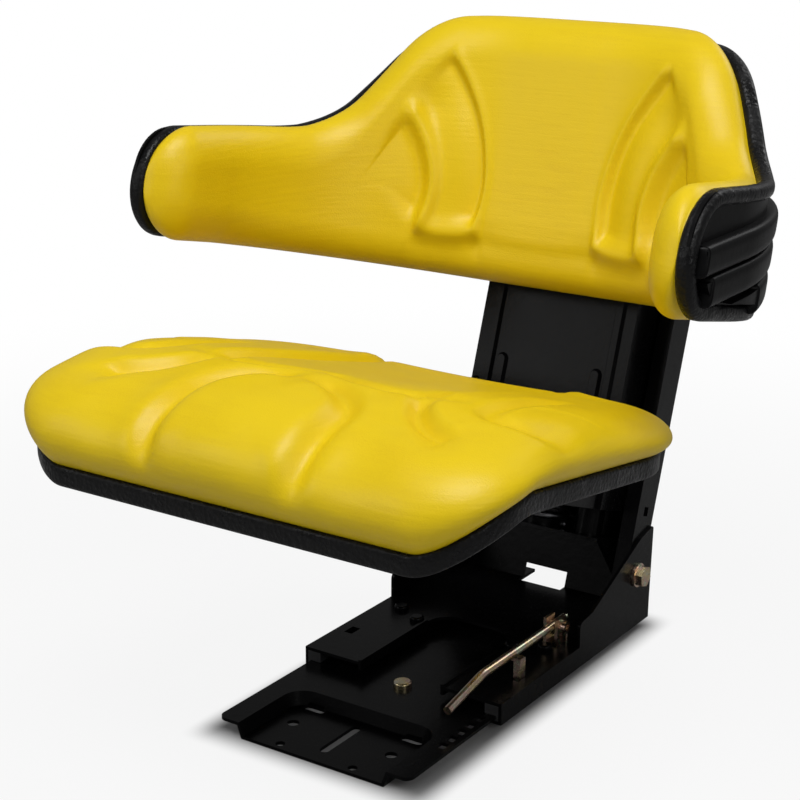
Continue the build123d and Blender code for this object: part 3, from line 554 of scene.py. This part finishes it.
@dataclass(frozen=True)
class WrapPlan:
    """Plan of the backrest's shell, unrolled: s runs round it from the middle, towards +X."""

    half: float = 0.273
    corner: float = 0.236
    rear: float = 0.222
    rear_z: float = 0.440
    lean: float = math.tan(math.radians(15.0))
    nose: float = -0.107

    @property
    def flat(self) -> float:
        """Half the length of the straight middle."""
        return self.half - self.corner

    @property
    def arm_start(self) -> float:
        """Distance round the shell to the start of the straight arm."""
        return self.flat + QUARTER_TURN * self.corner

    def reach(self, nose_z: float) -> float:
        """Distance round the shell to the nose of an arm whose middle is at that height."""
        return self.arm_start + self.rear - self.corner + self.lean * (nose_z - self.rear_z) - self.nose

    def place(self, s: Array, z: Array, inset: Array) -> Array:
        """Places on or inside the shell.

        Args:
            s: Distance round the shell.
            z: Height.
            inset: Distance inwards from the shell's outside.

        Returns:
            Places in the row frame.
        """
        out = np.abs(s)
        turn = np.clip((out - self.flat) / self.corner, 0.0, QUARTER_TURN)
        radius = self.corner - inset
        x = np.minimum(out, self.flat) + radius * np.sin(turn)
        y = self.rear - self.corner + radius * np.cos(turn) - np.maximum(out - self.arm_start, 0.0)
        y = y + self.lean * (z - self.rear_z)
        return np.stack((np.sign(s) * x, y, z), -1)


@dataclass(frozen=True)
class BackOutline:
    """Outline of the backrest's shell over its unrolled plan."""

    plan: WrapPlan
    top: float = 0.571
    shoulder: float = 0.166
    shoulder_foot: float = 0.231
    shoulder_radius: float = 0.070
    join_radius: float = 0.060
    arm_end: float = 0.105
    arm_top: float = 0.501
    arm_low: float = 0.403
    arm_top_slope: float = 0.11
    arm_low_slope: float = 0.213
    nose_ratio: float = 0.48

    @property
    def end(self) -> float:
        """Distance round the shell to the tip of an arm."""
        return self.plan.reach(0.5 * (self.arm_top + self.arm_low))

    @property
    def nose_radius(self) -> float:
        """Radius of the round at the tip of an arm."""
        return self.nose_ratio * (self.arm_top - self.arm_low)

    @property
    def arm_end_z(self) -> float:
        """Height of the arm's top where it runs into the back."""
        return self.arm_top - self.arm_top_slope * (self.arm_end - self.plan.nose)

    def _shoulder_rise(self, out: Array) -> Array:
        """Height of the back above the arm: a flat top, a round shoulder, a slope and a round foot."""
        rise = self.top - self.arm_end_z
        angle = math.atan2(rise, self.shoulder_foot - self.shoulder)
        top_run = self.shoulder_radius * math.tan(0.5 * angle)
        foot_run = self.join_radius * math.tan(0.5 * angle)
        turned = np.clip(out - self.shoulder + top_run, 0.0, self.shoulder_radius)
        crown = rise - self.shoulder_radius + np.sqrt(self.shoulder_radius**2 - turned**2)
        left = np.clip(self.shoulder_foot + foot_run - out, 0.0, self.join_radius)
        foot = self.join_radius - np.sqrt(self.join_radius**2 - left**2)
        slope = rise - (out - self.shoulder) * math.tan(angle)
        upper = np.where(out < self.shoulder + top_run * math.cos(angle), crown, slope)
        return np.where(out > self.shoulder_foot - foot_run * math.cos(angle), foot, upper)

    def border(self, s: Array, inset: float) -> tuple[Array, Array]:
        """Lowest and highest point at each place round the shell.

        Args:
            s: Distance round the shell.
            inset: Distance inwards from the outline.

        Returns:
            Low and high heights.
        """
        plan = self.plan
        foot = plan.place(s, np.full_like(s, plan.rear_z), np.zeros_like(s))
        run = foot[..., 1] - plan.nose - plan.lean * plan.rear_z
        low = (self.arm_low - self.arm_low_slope * run) / (1.0 + self.arm_low_slope * plan.lean)
        arm = (self.arm_top - self.arm_top_slope * run) / (1.0 + self.arm_top_slope * plan.lean)
        past_arm = foot[..., 1] + plan.lean * (self.arm_end_z - plan.rear_z) > self.arm_end
        high = np.where(past_arm, self.arm_end_z, arm) + self._shoulder_rise(np.abs(foot[..., 0]))
        radius = self.nose_radius - inset
        gone = np.clip(1.0 - (self.end - inset - np.abs(s)) / radius, 0.0, 1.0)
        drop = radius * (1.0 - np.sqrt(np.maximum(1.0 - gone**2, 0.0)))
        return low + inset + drop, high - inset - drop


@dataclass
class Backrest:
    """Wrapped back cushion with its moulded relief and the rubber trim round its shell."""

    plan: WrapPlan
    outline: BackOutline
    sheet: float = 0.003
    back_depth: float = 0.058
    arm_depth: float = 0.042
    trim_face: float = 0.0113
    roll: float = 0.036
    start_inset: float = 0.0045
    over_top: float = 0.013
    over_arm: float = 0.0015
    waist_share: float = 0.35
    columns: int = 330
    nose_columns: int = 30
    roll_rows: int = 22
    face_rows: int = 80
    trim_section: tuple[float, float] = (0.0130, 0.0150)
    trim_corner: float = 0.0052
    trim_cover: float = 0.014
    trim_outside: float = 0.004
    trim_least_step: float = 0.0002
    trim_probe: float = 0.001
    trim_sink: float = 0.0002
    shell_gap: float = 0.0004
    relief_start: float = 0.45
    arm_ease: tuple[float, float] = (0.15, 0.75)
    rib_heights: tuple[float, ...] = (0.396, 0.421, 0.446)
    rib_half: float = 0.0122
    rib_out: float = 0.0104
    rib_margin: float = 0.011
    rib_end: float = 0.004
    rib_end_width: float = 0.85
    rib_lift: float = 0.0002
    rib_sink: float = 0.0006
    rib_rows: int = 25
    rib_columns: int = 220
    rib_samples: int = 2000

    folds: tuple[Fold, ...] = (
        Fold(
            ((0.144, 0.558), (0.116, 0.530), (0.092, 0.499), (0.077, 0.466), (0.070, 0.430), (0.074, 0.386)),
            groove=0.0022, width=0.006, left=0.0072, right=-0.0008, reach=0.026, fade=0.08,
        ),
        Fold(
            ((0.196, 0.506), (0.180, 0.495), (0.164, 0.478), (0.150, 0.456), (0.142, 0.430), (0.145, 0.405),
             (0.158, 0.382)),
            groove=0.0068, width=0.011, left=0.0075, right=0.0005, reach=0.042, fade=0.16,
        ),
        Fold(
            ((0.064, 0.391), (0.100, 0.385), (0.136, 0.386), (0.162, 0.392)),
            groove=0.0058, width=0.010, left=-0.0022, right=0.0030, reach=0.026, fade=0.12,
        ),
        Fold(
            ((-0.090, 0.392), (0.0, 0.387), (0.090, 0.392)),
            groove=0.0010, width=0.012, left=-0.0015, right=0.0030, reach=0.026, fade=0.10,
        ),
    )
    mounds: tuple[Mound, ...] = (
        Mound((0.112, 0.452), (0.026, 0.058), -0.0040),
        Mound((0.156, 0.505), (0.022, 0.022), 0.0040),
    )

    def _columns(self, inset: float) -> Array:
        """Distances round the shell, closer together at the arms' noses."""
        end = self.outline.end - inset
        nose = self.outline.nose_radius - inset
        turn = np.linspace(0.0, QUARTER_TURN, self.nose_columns, endpoint=False)
        tip = end - nose * (1.0 - np.cos(turn))
        body = np.linspace(nose - end, end - nose, self.columns)
        return np.concatenate((-tip, body, tip[::-1]))

    def cushion(self, material: Material) -> Object:
        """Model the cushion as a closed pad inside the shell."""
        along = self._columns(self.start_inset)
        low, high = self.outline.border(along, self.start_inset)
        on_arm = np.clip((np.abs(along) - self.plan.flat) / (self.plan.arm_start - self.plan.flat), 0.0, 1.0)
        depth = self.back_depth + (self.arm_depth - self.back_depth) * on_arm
        left = np.clip((self.outline.end - self.start_inset - np.abs(along)) / self.roll, 0.0, 1.0)
        shut = np.sqrt(1.0 - (1.0 - left) ** 2)
        crest = self.trim_face + (self.sheet + depth - self.trim_face) * shut
        over_top = self.over_top + (self.over_arm - self.over_top) * smooth_step(*self.arm_ease, on_arm)
        lower, lower_inset = self._edge(np.full_like(along, self.over_arm), high - low, crest)
        upper, upper_inset = self._edge(over_top, high - low, crest)
        lower = low + lower
        upper = high - upper
        share = np.linspace(0.0, 1.0, self.face_rows + 2)[1:-1, None]
        face = lower[-1] + (upper[-1] - lower[-1]) * share
        z = np.concatenate((lower, face, upper[::-1]))
        inset = np.concatenate((lower_inset, np.repeat(crest[None], self.face_rows, 0), upper_inset[::-1]))
        s = np.repeat(along[None], len(z), 0)
        base = self.plan.place(s, z, inset)
        rise = np.clip((inset - self.trim_face) / np.maximum(crest - self.trim_face, 1e-6), 0.0, 1.0)
        lift = relief(self.folds, self.mounds, s, z) * smooth_step(self.relief_start, 1.0, rise) * shut
        front = base - grid_normals(base) * lift[..., None]
        hidden = low + (high - low) * np.linspace(0.0, 1.0, len(z))[:, None]
        rim = np.minimum(hidden - low, high - hidden)
        near_tip = self.outline.end - np.abs(s) < self.trim_cover + self.start_inset
        covered = (rim < self.trim_cover) | near_tip
        hidden_inset = np.where(covered, self.trim_face - self.trim_sink, self.sheet + self.shell_gap)
        back = self.plan.place(s, hidden, hidden_inset)
        pad = closed_pad("back_cushion_cover", front, back, material)
        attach(pad, "seat")
        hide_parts("back_cushion")
        return pad

    def _edge(self, over: Array, height: Array, crest: Array) -> tuple[Array, Array]:
        """Rolled edge of the cushion, from the trim's face out over the trim and up to the crest.

        Args:
            over: Overhang beyond the outline in each column.
            height: Height of each column.
            crest: Inset of the cushion's face in each column.

        Returns:
            Distance inwards from the outline and inset from the shell's outside, by row and column.
        """
        reach = np.minimum(self.roll, 0.5 * height + over)
        bulge = np.minimum(over + self.start_inset, reach)
        start = -np.arccos(1.0 - bulge / reach)
        share = np.linspace(0.0, 1.0, self.roll_rows)[:, None]
        turn = start + (QUARTER_TURN - start) * share
        waist = self.trim_face + self.waist_share * (crest - self.trim_face)
        climb = waist + (crest - waist) * np.sin(turn)
        sink = waist + (waist - self.trim_face) * np.sin(turn) / np.sin(-start)
        return reach * (1.0 - np.cos(turn)) - bulge, np.where(turn > 0.0, climb, sink)

    def ribs(self, material: Material) -> list[Object]:
        """Model the rounded stiffening bulges round the outside of the shell."""
        made = []
        across = np.sin(np.linspace(-QUARTER_TURN, QUARTER_TURN, self.rib_rows))
        swell = (1.0 - across**4) ** 0.25
        for number, height in enumerate(self.rib_heights, start=1):
            reach = self._rib_reach(height)
            along = reach * np.sin(np.linspace(-QUARTER_TURN, QUARTER_TURN, self.rib_columns))
            end = np.sqrt(np.clip((reach - np.abs(along)) / self.rib_end, 0.0, 1.0))
            s = np.repeat(along[None], len(across), 0)
            width = self.rib_end_width + (1.0 - self.rib_end_width) * end
            z = height + self.rib_half * across[:, None] * width[None]
            out = self.rib_out * swell[:, None] * end[None]
            bulge = self.plan.place(s, z, -out - self.rib_lift)
            shell = self.plan.place(s, z, np.full_like(s, self.rib_sink))
            rib = closed_pad(f"back_shell_rib_{number}", bulge[::-1], shell[::-1], material)
            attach(rib, "seat")
            made.append(rib)
        return made

    def _rib_reach(self, height: float) -> float:
        """Distance round the shell at which a bulge meets the trim."""
        along = np.linspace(0.0, self.outline.end, self.rib_samples)
        low, high = self.outline.border(along, self.rib_margin)
        clear = (low < height - 0.5 * self.rib_half) & (height + 0.5 * self.rib_half < high)
        return float(along[clear & (along < self.outline.end - self.rib_margin)].max())

    def trim(self, material: Material) -> Object:
        """Model the rubber trim that grips the shell's edge."""
        width, height = self.trim_section
        along = self._columns(0.5 * width)
        low, high = self.outline.border(along, 0.5 * width)
        loop = np.concatenate((np.stack((along, low), 1), np.stack((along, high), 1)[::-1]))
        keep = np.linalg.norm(loop - np.roll(loop, 1, 0), axis=1) > self.trim_least_step
        loop = loop[keep]
        tangent = np.roll(loop, -1, 0) - np.roll(loop, 1, 0)
        tangent = tangent / np.linalg.norm(tangent, axis=1, keepdims=True)
        outwards = np.stack((tangent[:, 1], -tangent[:, 0]), 1)
        step = self.trim_probe
        inset = np.full(len(loop), 0.5 * height - self.trim_outside)
        path = self.plan.place(loop[:, 0], loop[:, 1], inset)
        moved = loop + outwards * step
        first = (self.plan.place(moved[:, 0], moved[:, 1], inset) - path) / step
        second = (self.plan.place(loop[:, 0], loop[:, 1], inset + step) - path) / step
        section = rounded_bar(width, height, self.trim_corner)
        trim = swept_loop("back_edge_trim", path, first, second, section, material)
        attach(trim, "seat")
        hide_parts("back_trim")
        return trim


@dataclass(frozen=True)
class PanPlan:
    """Plan and side curve of the seat pan that the cushion sits on."""

    half: float = 0.2215
    front: float = -0.320
    rear: float = 0.045
    front_corner: float = 0.058
    rear_corner: float = 0.104
    rear_z: float = 0.2565
    slope: float = 0.145
    lip_start: float = -0.235
    lip_radius: float = 0.090
    lip_turn: float = math.radians(60.4)
    loop_step: float = 0.006

    def half_at(self, y: Array) -> Array:
        """Half the pan's width at y."""
        ahead = np.clip(self.front_corner - (y - self.front), 0.0, self.front_corner)
        behind = np.clip(self.rear_corner - (self.rear - y), 0.0, self.rear_corner)
        half = self.half - self.front_corner + np.sqrt(self.front_corner**2 - ahead**2)
        return half - self.rear_corner + np.sqrt(self.rear_corner**2 - behind**2)

    def edge_z(self, y: Array) -> Array:
        """Height of the pan's upper edge at y, with its lip turned down at the front."""
        straight = self.rear_z + self.slope * (self.rear - y)
        start_z = self.rear_z + self.slope * (self.rear - self.lip_start)
        tilt = math.atan(self.slope)
        furthest = math.sin(self.lip_turn - tilt) + math.sin(tilt)
        past = np.clip((self.lip_start - y) / self.lip_radius, 0.0, furthest)
        turn = np.arcsin(np.clip(past - math.sin(tilt), -1.0, 1.0))
        lip = start_z + self.lip_radius * (np.cos(turn) - math.cos(tilt))
        return np.where(y < self.lip_start, lip, straight)

    def loop(self, grow: float, count: int) -> Array:
        """Plan outline, grown outwards, counter-clockwise from the front corner at +X."""
        turns = np.linspace(0.0, QUARTER_TURN, count)
        corners = []
        ahead, behind = self.front_corner, self.rear_corner
        centers = (
            (self.half - ahead, self.front + ahead, ahead, -QUARTER_TURN),
            (self.half - behind, self.rear - behind, behind, 0.0),
            (behind - self.half, self.rear - behind, behind, QUARTER_TURN),
            (ahead - self.half, self.front + ahead, ahead, math.pi),
        )
        for x, y, radius, start in centers:
            angle = start + turns
            ring = np.stack((np.cos(angle), np.sin(angle)), 1) * (radius + grow)
            corners.append(ring + np.array((x, y)))
        outline = np.vstack(corners)
        filled = []
        for here, there in zip(outline, np.roll(outline, -1, 0)):
            pieces = max(1, int(np.linalg.norm(there - here) / self.loop_step))
            filled.append(here + (there - here) * np.linspace(0.0, 1.0, pieces, endpoint=False)[:, None])
        return np.vstack(filled)


@dataclass
class SeatSquab:
    """Seat cushion with its moulded pads and the rubber trim under it."""

    plan: PanPlan
    bulge: float = 0.0125
    side_roll: float = 0.056
    front_roll: float = 0.070
    rear_roll: float = 0.046
    crest_z: float = 0.336
    crest_y: float = -0.190
    rear_top_z: float = 0.275
    front_top_z: float = 0.331
    columns: int = 230
    rows: int = 190
    corner_rows: int = 30
    side_crowding: float = 0.35
    front_run: float = 0.085
    crest_blend: float = 0.012
    crest_lift: float = 0.002
    front_ease: tuple[float, float] = (0.09, 0.01)
    rear_ease: tuple[float, float] = (0.10, 0.01)
    waist_share: float = 0.36
    relief_margin: float = 0.034
    pan_gap: float = 0.0004
    trim_section: tuple[float, float] = (0.0085, 0.0180)
    trim_corner: float = 0.0036
    trim_outside: float = 0.0035
    trim_corner_points: int = 40

    folds: tuple[Fold, ...] = (
        Fold(
            ((0.058, -0.318), (0.070, -0.300), (0.072, -0.276), (0.062, -0.246), (0.036, -0.222),
             (0.0, -0.213)),
            groove=0.0085, width=0.012, left=0.0045, right=0.0030, reach=0.032, fade=0.20,
        ),
        Fold(
            ((0.178, -0.268), (0.148, -0.258), (0.125, -0.240), (0.110, -0.218), (0.102, -0.192)),
            groove=0.0075, width=0.009, left=0.0030, right=0.0050, reach=0.026, fade=0.22,
        ),
        Fold(
            ((0.103, -0.198), (0.100, -0.140), (0.098, -0.070), (0.097, 0.060)),
            groove=0.0055, width=0.008, left=0.0005, right=0.0050, reach=0.026, fade=0.10,
        ),
        Fold(
            ((-0.020, -0.170), (0.0, -0.176), (0.030, -0.192), (0.066, -0.200), (0.104, -0.192)),
            groove=0.0040, width=0.009, left=0.0010, right=0.0035, reach=0.022, fade=0.16,
        ),
        Fold(
            ((0.162, -0.070), (0.157, -0.140), (0.161, -0.196), (0.176, -0.214), (0.191, -0.206),
             (0.195, -0.165)),
            groove=0.0048, width=0.010, left=0.0020, right=0.0030, reach=0.026, fade=0.20,
        ),
    )
    mounds: tuple[Mound, ...] = (
        Mound((0.0, -0.268), (0.060, 0.062), 0.0085),
        Mound((0.112, -0.290), (0.040, 0.045), -0.0040),
        Mound((0.0, -0.070), (0.075, 0.085), -0.0045),
        Mound((0.158, -0.055), (0.048, 0.105), 0.0042),
    )

    def _top(self, y: Array) -> Array:
        """Height of the plain cushion's top at y."""
        ahead = self.crest_z + (self.front_top_z - self.crest_z) * ((self.crest_y - y) / self.front_run) ** 2
        fall = (self.crest_z - self.rear_top_z) / (self.plan.rear - self.crest_y)
        behind = self.crest_z - fall * (y - self.crest_y)
        return soft_min(ahead, behind, self.crest_blend) + self.crest_lift

    def _rows(self) -> Array:
        """Places from front to rear, closer together round the corners."""
        plan = self.plan
        turn = np.linspace(0.0, QUARTER_TURN, self.corner_rows, endpoint=False)
        ahead = plan.front + plan.front_corner * (1.0 - np.cos(turn))
        behind = plan.rear - plan.rear_corner * (1.0 - np.cos(turn))
        count = self.rows - 2 * self.corner_rows
        middle = np.linspace(plan.front + plan.front_corner, plan.rear - plan.rear_corner, count)
        return np.concatenate((ahead, middle, behind[::-1]))

    def cushion(self, material: Material) -> Object:
        """Model the cushion as a closed pad that bulges over the pan's edge."""
        plan = self.plan
        along = self._rows()
        share = np.linspace(-1.0, 1.0, self.columns)
        crowding = self.side_crowding
        share = np.sin(QUARTER_TURN * share) * crowding + share * (1.0 - crowding)
        half = plan.half_at(along)
        x = half[:, None] * share[None]
        y = np.repeat(along[:, None], self.columns, 1)
        places = np.stack((x.ravel(), y.ravel()), 1)
        foot, outwards, gap = self._nearest(places)
        front_share = smooth_step(*(plan.front + ease for ease in self.front_ease), foot[:, 1])
        rear_share = smooth_step(*(plan.rear - ease for ease in self.rear_ease), foot[:, 1])
        reach = self.side_roll + (self.front_roll - self.side_roll) * front_share
        reach = reach + (self.rear_roll - self.side_roll) * rear_share
        roll = reach - self.bulge
        start = -np.arccos(1.0 - self.bulge / reach)
        turn = start + (QUARTER_TURN - start) * np.clip(gap / roll, 0.0, 1.0)
        offset = reach * np.cos(turn) - roll
        rolled = gap < roll
        spot = np.where(rolled[:, None], foot + outwards * offset[:, None], places)
        edge_z = plan.edge_z(foot[:, 1])
        top_z = self._top(np.clip(places[:, 1], plan.front, plan.rear))
        middle_z = edge_z + self.waist_share * (top_z - edge_z)
        down = (middle_z - edge_z) / np.sin(-start)
        rise = np.where(turn > 0.0, (top_z - middle_z) * np.sin(turn), down * np.sin(turn))
        z = np.where(rolled, middle_z + rise, top_z)
        base = np.column_stack((spot, z)).reshape(*x.shape, 3)
        inner = smooth_step(0.0, self.relief_margin, gap.reshape(x.shape))
        lift = relief(self.folds, self.mounds, x, y) * inner
        top = base + grid_normals(base) * lift[..., None]
        under = np.stack((x, y, plan.edge_z(y) + self.pan_gap), -1)
        pad = closed_pad("seat_cushion_cover", top, under, material)
        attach(pad, "seat")
        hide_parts("seat_cushion")
        return pad

    def _nearest(self, places: Array) -> tuple[Array, Array, Array]:
        """Nearest point of the pan's outline to each place inside it.

        Args:
            places: Places in plan.

        Returns:
            The outline's points, the directions outwards from the places, and the distances.
        """
        plan = self.plan
        out, y = np.abs(places[:, 0]), places[:, 1]
        gaps = np.stack((plan.half - out, y - plan.front, plan.rear - y), 1)
        normal = np.array(((1.0, 0.0), (0.0, -1.0), (0.0, 1.0)))[gaps.argmin(1)]
        gap = gaps.min(1)
        for radius, end, sign in ((plan.front_corner, plan.front, -1.0), (plan.rear_corner, plan.rear, 1.0)):
            apart = np.stack((out - plan.half + radius, y - end + sign * radius), 1)
            inside = (apart[:, 0] > 0.0) & (sign * apart[:, 1] > 0.0)
            length = np.maximum(np.linalg.norm(apart, axis=1), 1e-9)
            normal[inside] = (apart / length[:, None])[inside]
            gap[inside] = (radius - length)[inside]
        normal[:, 0] = normal[:, 0] * np.where(places[:, 0] < 0.0, -1.0, 1.0)
        gap = np.maximum(gap, 0.0)
        return places + normal * gap[:, None], normal, gap

    def trim(self, material: Material) -> Object:
        """Model the rubber trim on the pan's rim."""
        width, height = self.trim_section
        loop = self.plan.loop(self.trim_outside - 0.5 * width, self.trim_corner_points)
        step = np.roll(loop, -1, 0) - np.roll(loop, 1, 0)
        normal = np.stack((step[:, 1], -step[:, 0]), 1)
        normal = normal / np.linalg.norm(normal, axis=1, keepdims=True)
        z = self.plan.edge_z(loop[:, 1]) - 0.5 * height
        path = np.column_stack((loop, z))
        first = np.column_stack((normal, np.zeros(len(loop))))
        second = np.tile((0.0, 0.0, 1.0), (len(loop), 1))
        section = rounded_bar(width, height, self.trim_corner)
        trim = swept_loop("seat_edge_trim", path, first, second, section, material)
        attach(trim, "seat")
        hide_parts("seat_trim")
        return trim


@dataclass
class CoilSpring:
    """Suspension spring between the carriage's shelf and the seat's cap."""

    lean: float = math.radians(18.5)
    mast_foot_y: float = 0.140
    back: float = 0.002
    low: float = 0.101
    high: float = 0.301
    outer: float = 0.056
    wire: float = 0.008
    turns: float = 8.0
    steps: int = 40
    sides: int = 12
    shortest: float = 0.60
    closed_pitch: float = 1.02

    def along(self) -> Vector:
        """Direction of the spring's axis."""
        return Vector((0.0, math.sin(self.lean), math.cos(self.lean)))

    def point(self, up: float) -> Vector:
        """Place on the spring's axis."""
        behind = Vector((0.0, math.cos(self.lean), -math.sin(self.lean)))
        return Vector((0.0, self.mast_foot_y, 0.0)) + self.along() * up + behind * self.back

    def build(self, material: Material) -> Object:
        """Coil the wire, with its end turns lying closed on their seats."""
        count = int(self.turns * self.steps)
        turn = np.linspace(0.0, 1.0, count) * self.turns
        open_turns = self.turns - 2.0
        climb = np.clip((turn - 1.0) / open_turns, 0.0, 1.0)
        dead = 0.5 * self.wire
        closed = self.wire * self.closed_pitch
        rise = np.where(turn < 1.0, turn * closed, np.where(
            turn > self.turns - 1.0,
            self.high - self.low - 2 * dead - (self.turns - turn) * closed,
            closed + climb * (self.high - self.low - 2 * dead - 2 * closed),
        ))
        radius = 0.5 * (self.outer - self.wire)
        angle = FULL_TURN * turn
        axis = np.array(self.along())
        side = np.array((1.0, 0.0, 0.0))
        behind = np.cross(axis, side)
        outwards = np.cos(angle)[:, None] * side + np.sin(angle)[:, None] * behind
        foot = np.array(self.point(self.low + dead))
        path = foot + rise[:, None] * axis + radius * outwards
        section = FULL_TURN * np.arange(self.sides) / self.sides
        rings = path[:, None] + dead * (
            np.cos(section)[None, :, None] * outwards[:, None] + np.sin(section)[None, :, None] * axis
        )
        faces = tube_faces(count, self.sides, False)
        faces.append(tuple(range(self.sides)))
        faces.append(tuple(range(count * self.sides - 1, (count - 1) * self.sides - 1, -1)))
        spring = new_piece("suspension_coil", rings.reshape(-1, 3), faces, material)
        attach(spring, "carriage")
        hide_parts("coil_spring")
        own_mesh(spring)
        return spring


class LampRole(Enum):
    """Place and duty of each studio lamp: position, aim, size and power."""

    KEY = ((0.5, -0.9, 2.9), (0.0, -0.05, 0.35), 1.7, 62.0)
    SIDE = ((2.3, -1.3, 1.5), (0.1, -0.05, 0.40), 1.2, 9.0)
    FILL = ((-1.6, -2.2, 1.5), (0.0, 0.0, 0.45), 1.5, 11.0)
    BACK = ((0.6, 2.1, 1.9), (0.0, 0.1, 0.45), 1.2, 9.0)


@dataclass
class Studio:
    """White studio with soft lamps and the photograph's camera."""

    azimuth: float = 33.709
    elevation: float = 17.0125
    roll: float = 0.40685
    position: tuple[float, float, float] = (0.824169, -1.314824, 0.741391)
    focal_px: float = 1813.116
    image_px: float = 800.0
    sensor: float = 36.0
    floor_reach: float = 12.0
    floor_drop: float = 0.0006

    def camera(self) -> Object:
        """Stand the camera where the photograph was taken from."""
        turn, tilt = math.radians(self.azimuth), math.radians(self.elevation)
        back = Vector((math.sin(turn) * math.cos(tilt), -math.cos(turn) * math.cos(tilt), math.sin(tilt)))
        right = Vector((0.0, 0.0, 1.0)).cross(back).normalized()
        up = back.cross(right)
        rolled = Matrix.Rotation(math.radians(self.roll), 4, "Z")
        stand = Matrix((right, up, back)).transposed().to_4x4() @ rolled
        lens = bpy.data.cameras.new("camera")
        lens.sensor_width = self.sensor
        lens.lens = self.focal_px / self.image_px * self.sensor
        lens.clip_start = 0.05
        camera = bpy.data.objects.new("camera", lens)
        camera.matrix_world = Matrix.Translation(Vector(self.position)) @ stand
        bpy.context.scene.collection.objects.link(camera)
        bpy.context.scene.camera = camera
        return camera

    def lamps(self) -> None:
        """Hang the soft lamps."""
        for role in LampRole:
            position, aim, size, power = role.value
            lamp = bpy.data.lights.new(f"lamp_{role.name.lower()}", "AREA")
            lamp.shape = "DISK"
            lamp.size = size
            lamp.energy = power
            holder = bpy.data.objects.new(lamp.name, lamp)
            holder.location = position
            sight = Vector(aim) - Vector(position)
            holder.rotation_euler = sight.to_track_quat("-Z", "Y").to_euler()
            bpy.context.scene.collection.objects.link(holder)

    def world(self) -> None:
        """Light the scene evenly, and show white behind the object."""
        world = bpy.data.worlds.new("studio")
        world.use_nodes = True
        nodes, links = world.node_tree.nodes, world.node_tree.links
        nodes.clear()
        path = nodes.new("ShaderNodeLightPath")
        ambient = nodes.new("ShaderNodeBackground")
        ambient.inputs["Color"].default_value = (0.20, 0.20, 0.20, 1.0)
        white = nodes.new("ShaderNodeBackground")
        white.inputs["Color"].default_value = (1.0, 1.0, 1.0, 1.0)
        mix = nodes.new("ShaderNodeMixShader")
        output = nodes.new("ShaderNodeOutputWorld")
        links.new(path.outputs["Is Camera Ray"], mix.inputs[0])
        links.new(ambient.outputs[0], mix.inputs[1])
        links.new(white.outputs[0], mix.inputs[2])
        links.new(mix.outputs[0], output.inputs["Surface"])
        bpy.context.scene.world = world

    def floor(self) -> Object:
        """Lay a pale floor that keeps a faint shadow, with painted shade under the base: its glow is cut
        there, so only the dim diffuse floor shows.
        """
        tree = Tree("studio_floor")
        tree.set(Base_Color=(0.42, 0.42, 0.42), Roughness=0.9, Specular_IOR_Level=0.0)
        glow = tree.node("ShaderNodeEmission", None, {"Color": (1.0, 1.0, 1.0), "Strength": 1.0})
        path = tree.node("ShaderNodeLightPath")
        spot = tree.node("ShaderNodeSeparateXYZ", None, {0: tree.place})
        across = (Value(tree, spot.outputs[0]) ** 2.0) ** 0.5
        along = (Value(tree, spot.outputs[1]) ** 2.0) ** 0.5
        far = ((across * across + along * along) ** 0.5).smooth(0.5, 1.5)
        # Painted shade: inside the base's footprint the glow is cut, so the floor under the seat goes dark.
        painted_shade_under_base = (1.0 - across.smooth(0.10, 0.13)) * (1.0 - along.smooth(0.20, 0.24))
        glowing = (0.90 + 0.10 * far) * (1.0 - painted_shade_under_base)
        seen = Value(tree, path.outputs["Is Camera Ray"]) * glowing
        mix = tree.node("ShaderNodeMixShader", None, {0: seen, 1: tree.shader.outputs[0], 2: glow.outputs[0]})
        tree.links.new(mix.outputs[0], tree.output.inputs["Surface"])
        signs = np.array(((-1.0, -1.0, 0.0), (1.0, -1.0, 0.0), (1.0, 1.0, 0.0), (-1.0, 1.0, 0.0)))
        corners = self.floor_reach * signs - np.array((0.0, 0.0, self.floor_drop))
        floor = new_piece("studio_floor", corners, [(0, 1, 2, 3)], tree.material)
        return floor


def dress_nodes(made: Mapping[str, Material]) -> None:
    """Give every CAD node the finish of its slot."""
    for entry in frame["record"]["subparts"]:
        node = frame["nodes"][entry["node"]]
        finish = made[entry["material_slot"]]
        if node.material_slots:
            for slot in node.material_slots:
                slot.material = finish
        else:
            node.data.materials.append(finish)
        log.info("%s dressed in %s", node.name, finish.name)


def main() -> None:
    """Build the scene in order: studio, finishes, cushions and trims."""
    logging.basicConfig(level=logging.INFO, format="%(name)s: %(message)s")
    bpy.context.scene.view_settings.view_transform = "Standard"
    studio = Studio()
    studio.camera()
    studio.lamps()
    studio.world()
    studio.floor()
    made = finishes()
    dress_nodes(made)
    plan = WrapPlan()
    backrest = Backrest(plan, BackOutline(plan))
    squab = SeatSquab(PanPlan())
    pieces = (
        backrest.cushion(made["yellow_cover"]),
        backrest.trim(made["edge_rubber"]),
        *backrest.ribs(made["pan_black"]),
        squab.cushion(made["yellow_cover"]),
        squab.trim(made["edge_rubber"]),
        CoilSpring().build(made["bare_steel"]),
    )
    for piece in pieces:
        log.info("%s has %d faces", piece.name, len(piece.data.polygons))


if __name__ == "__main__":
    main()
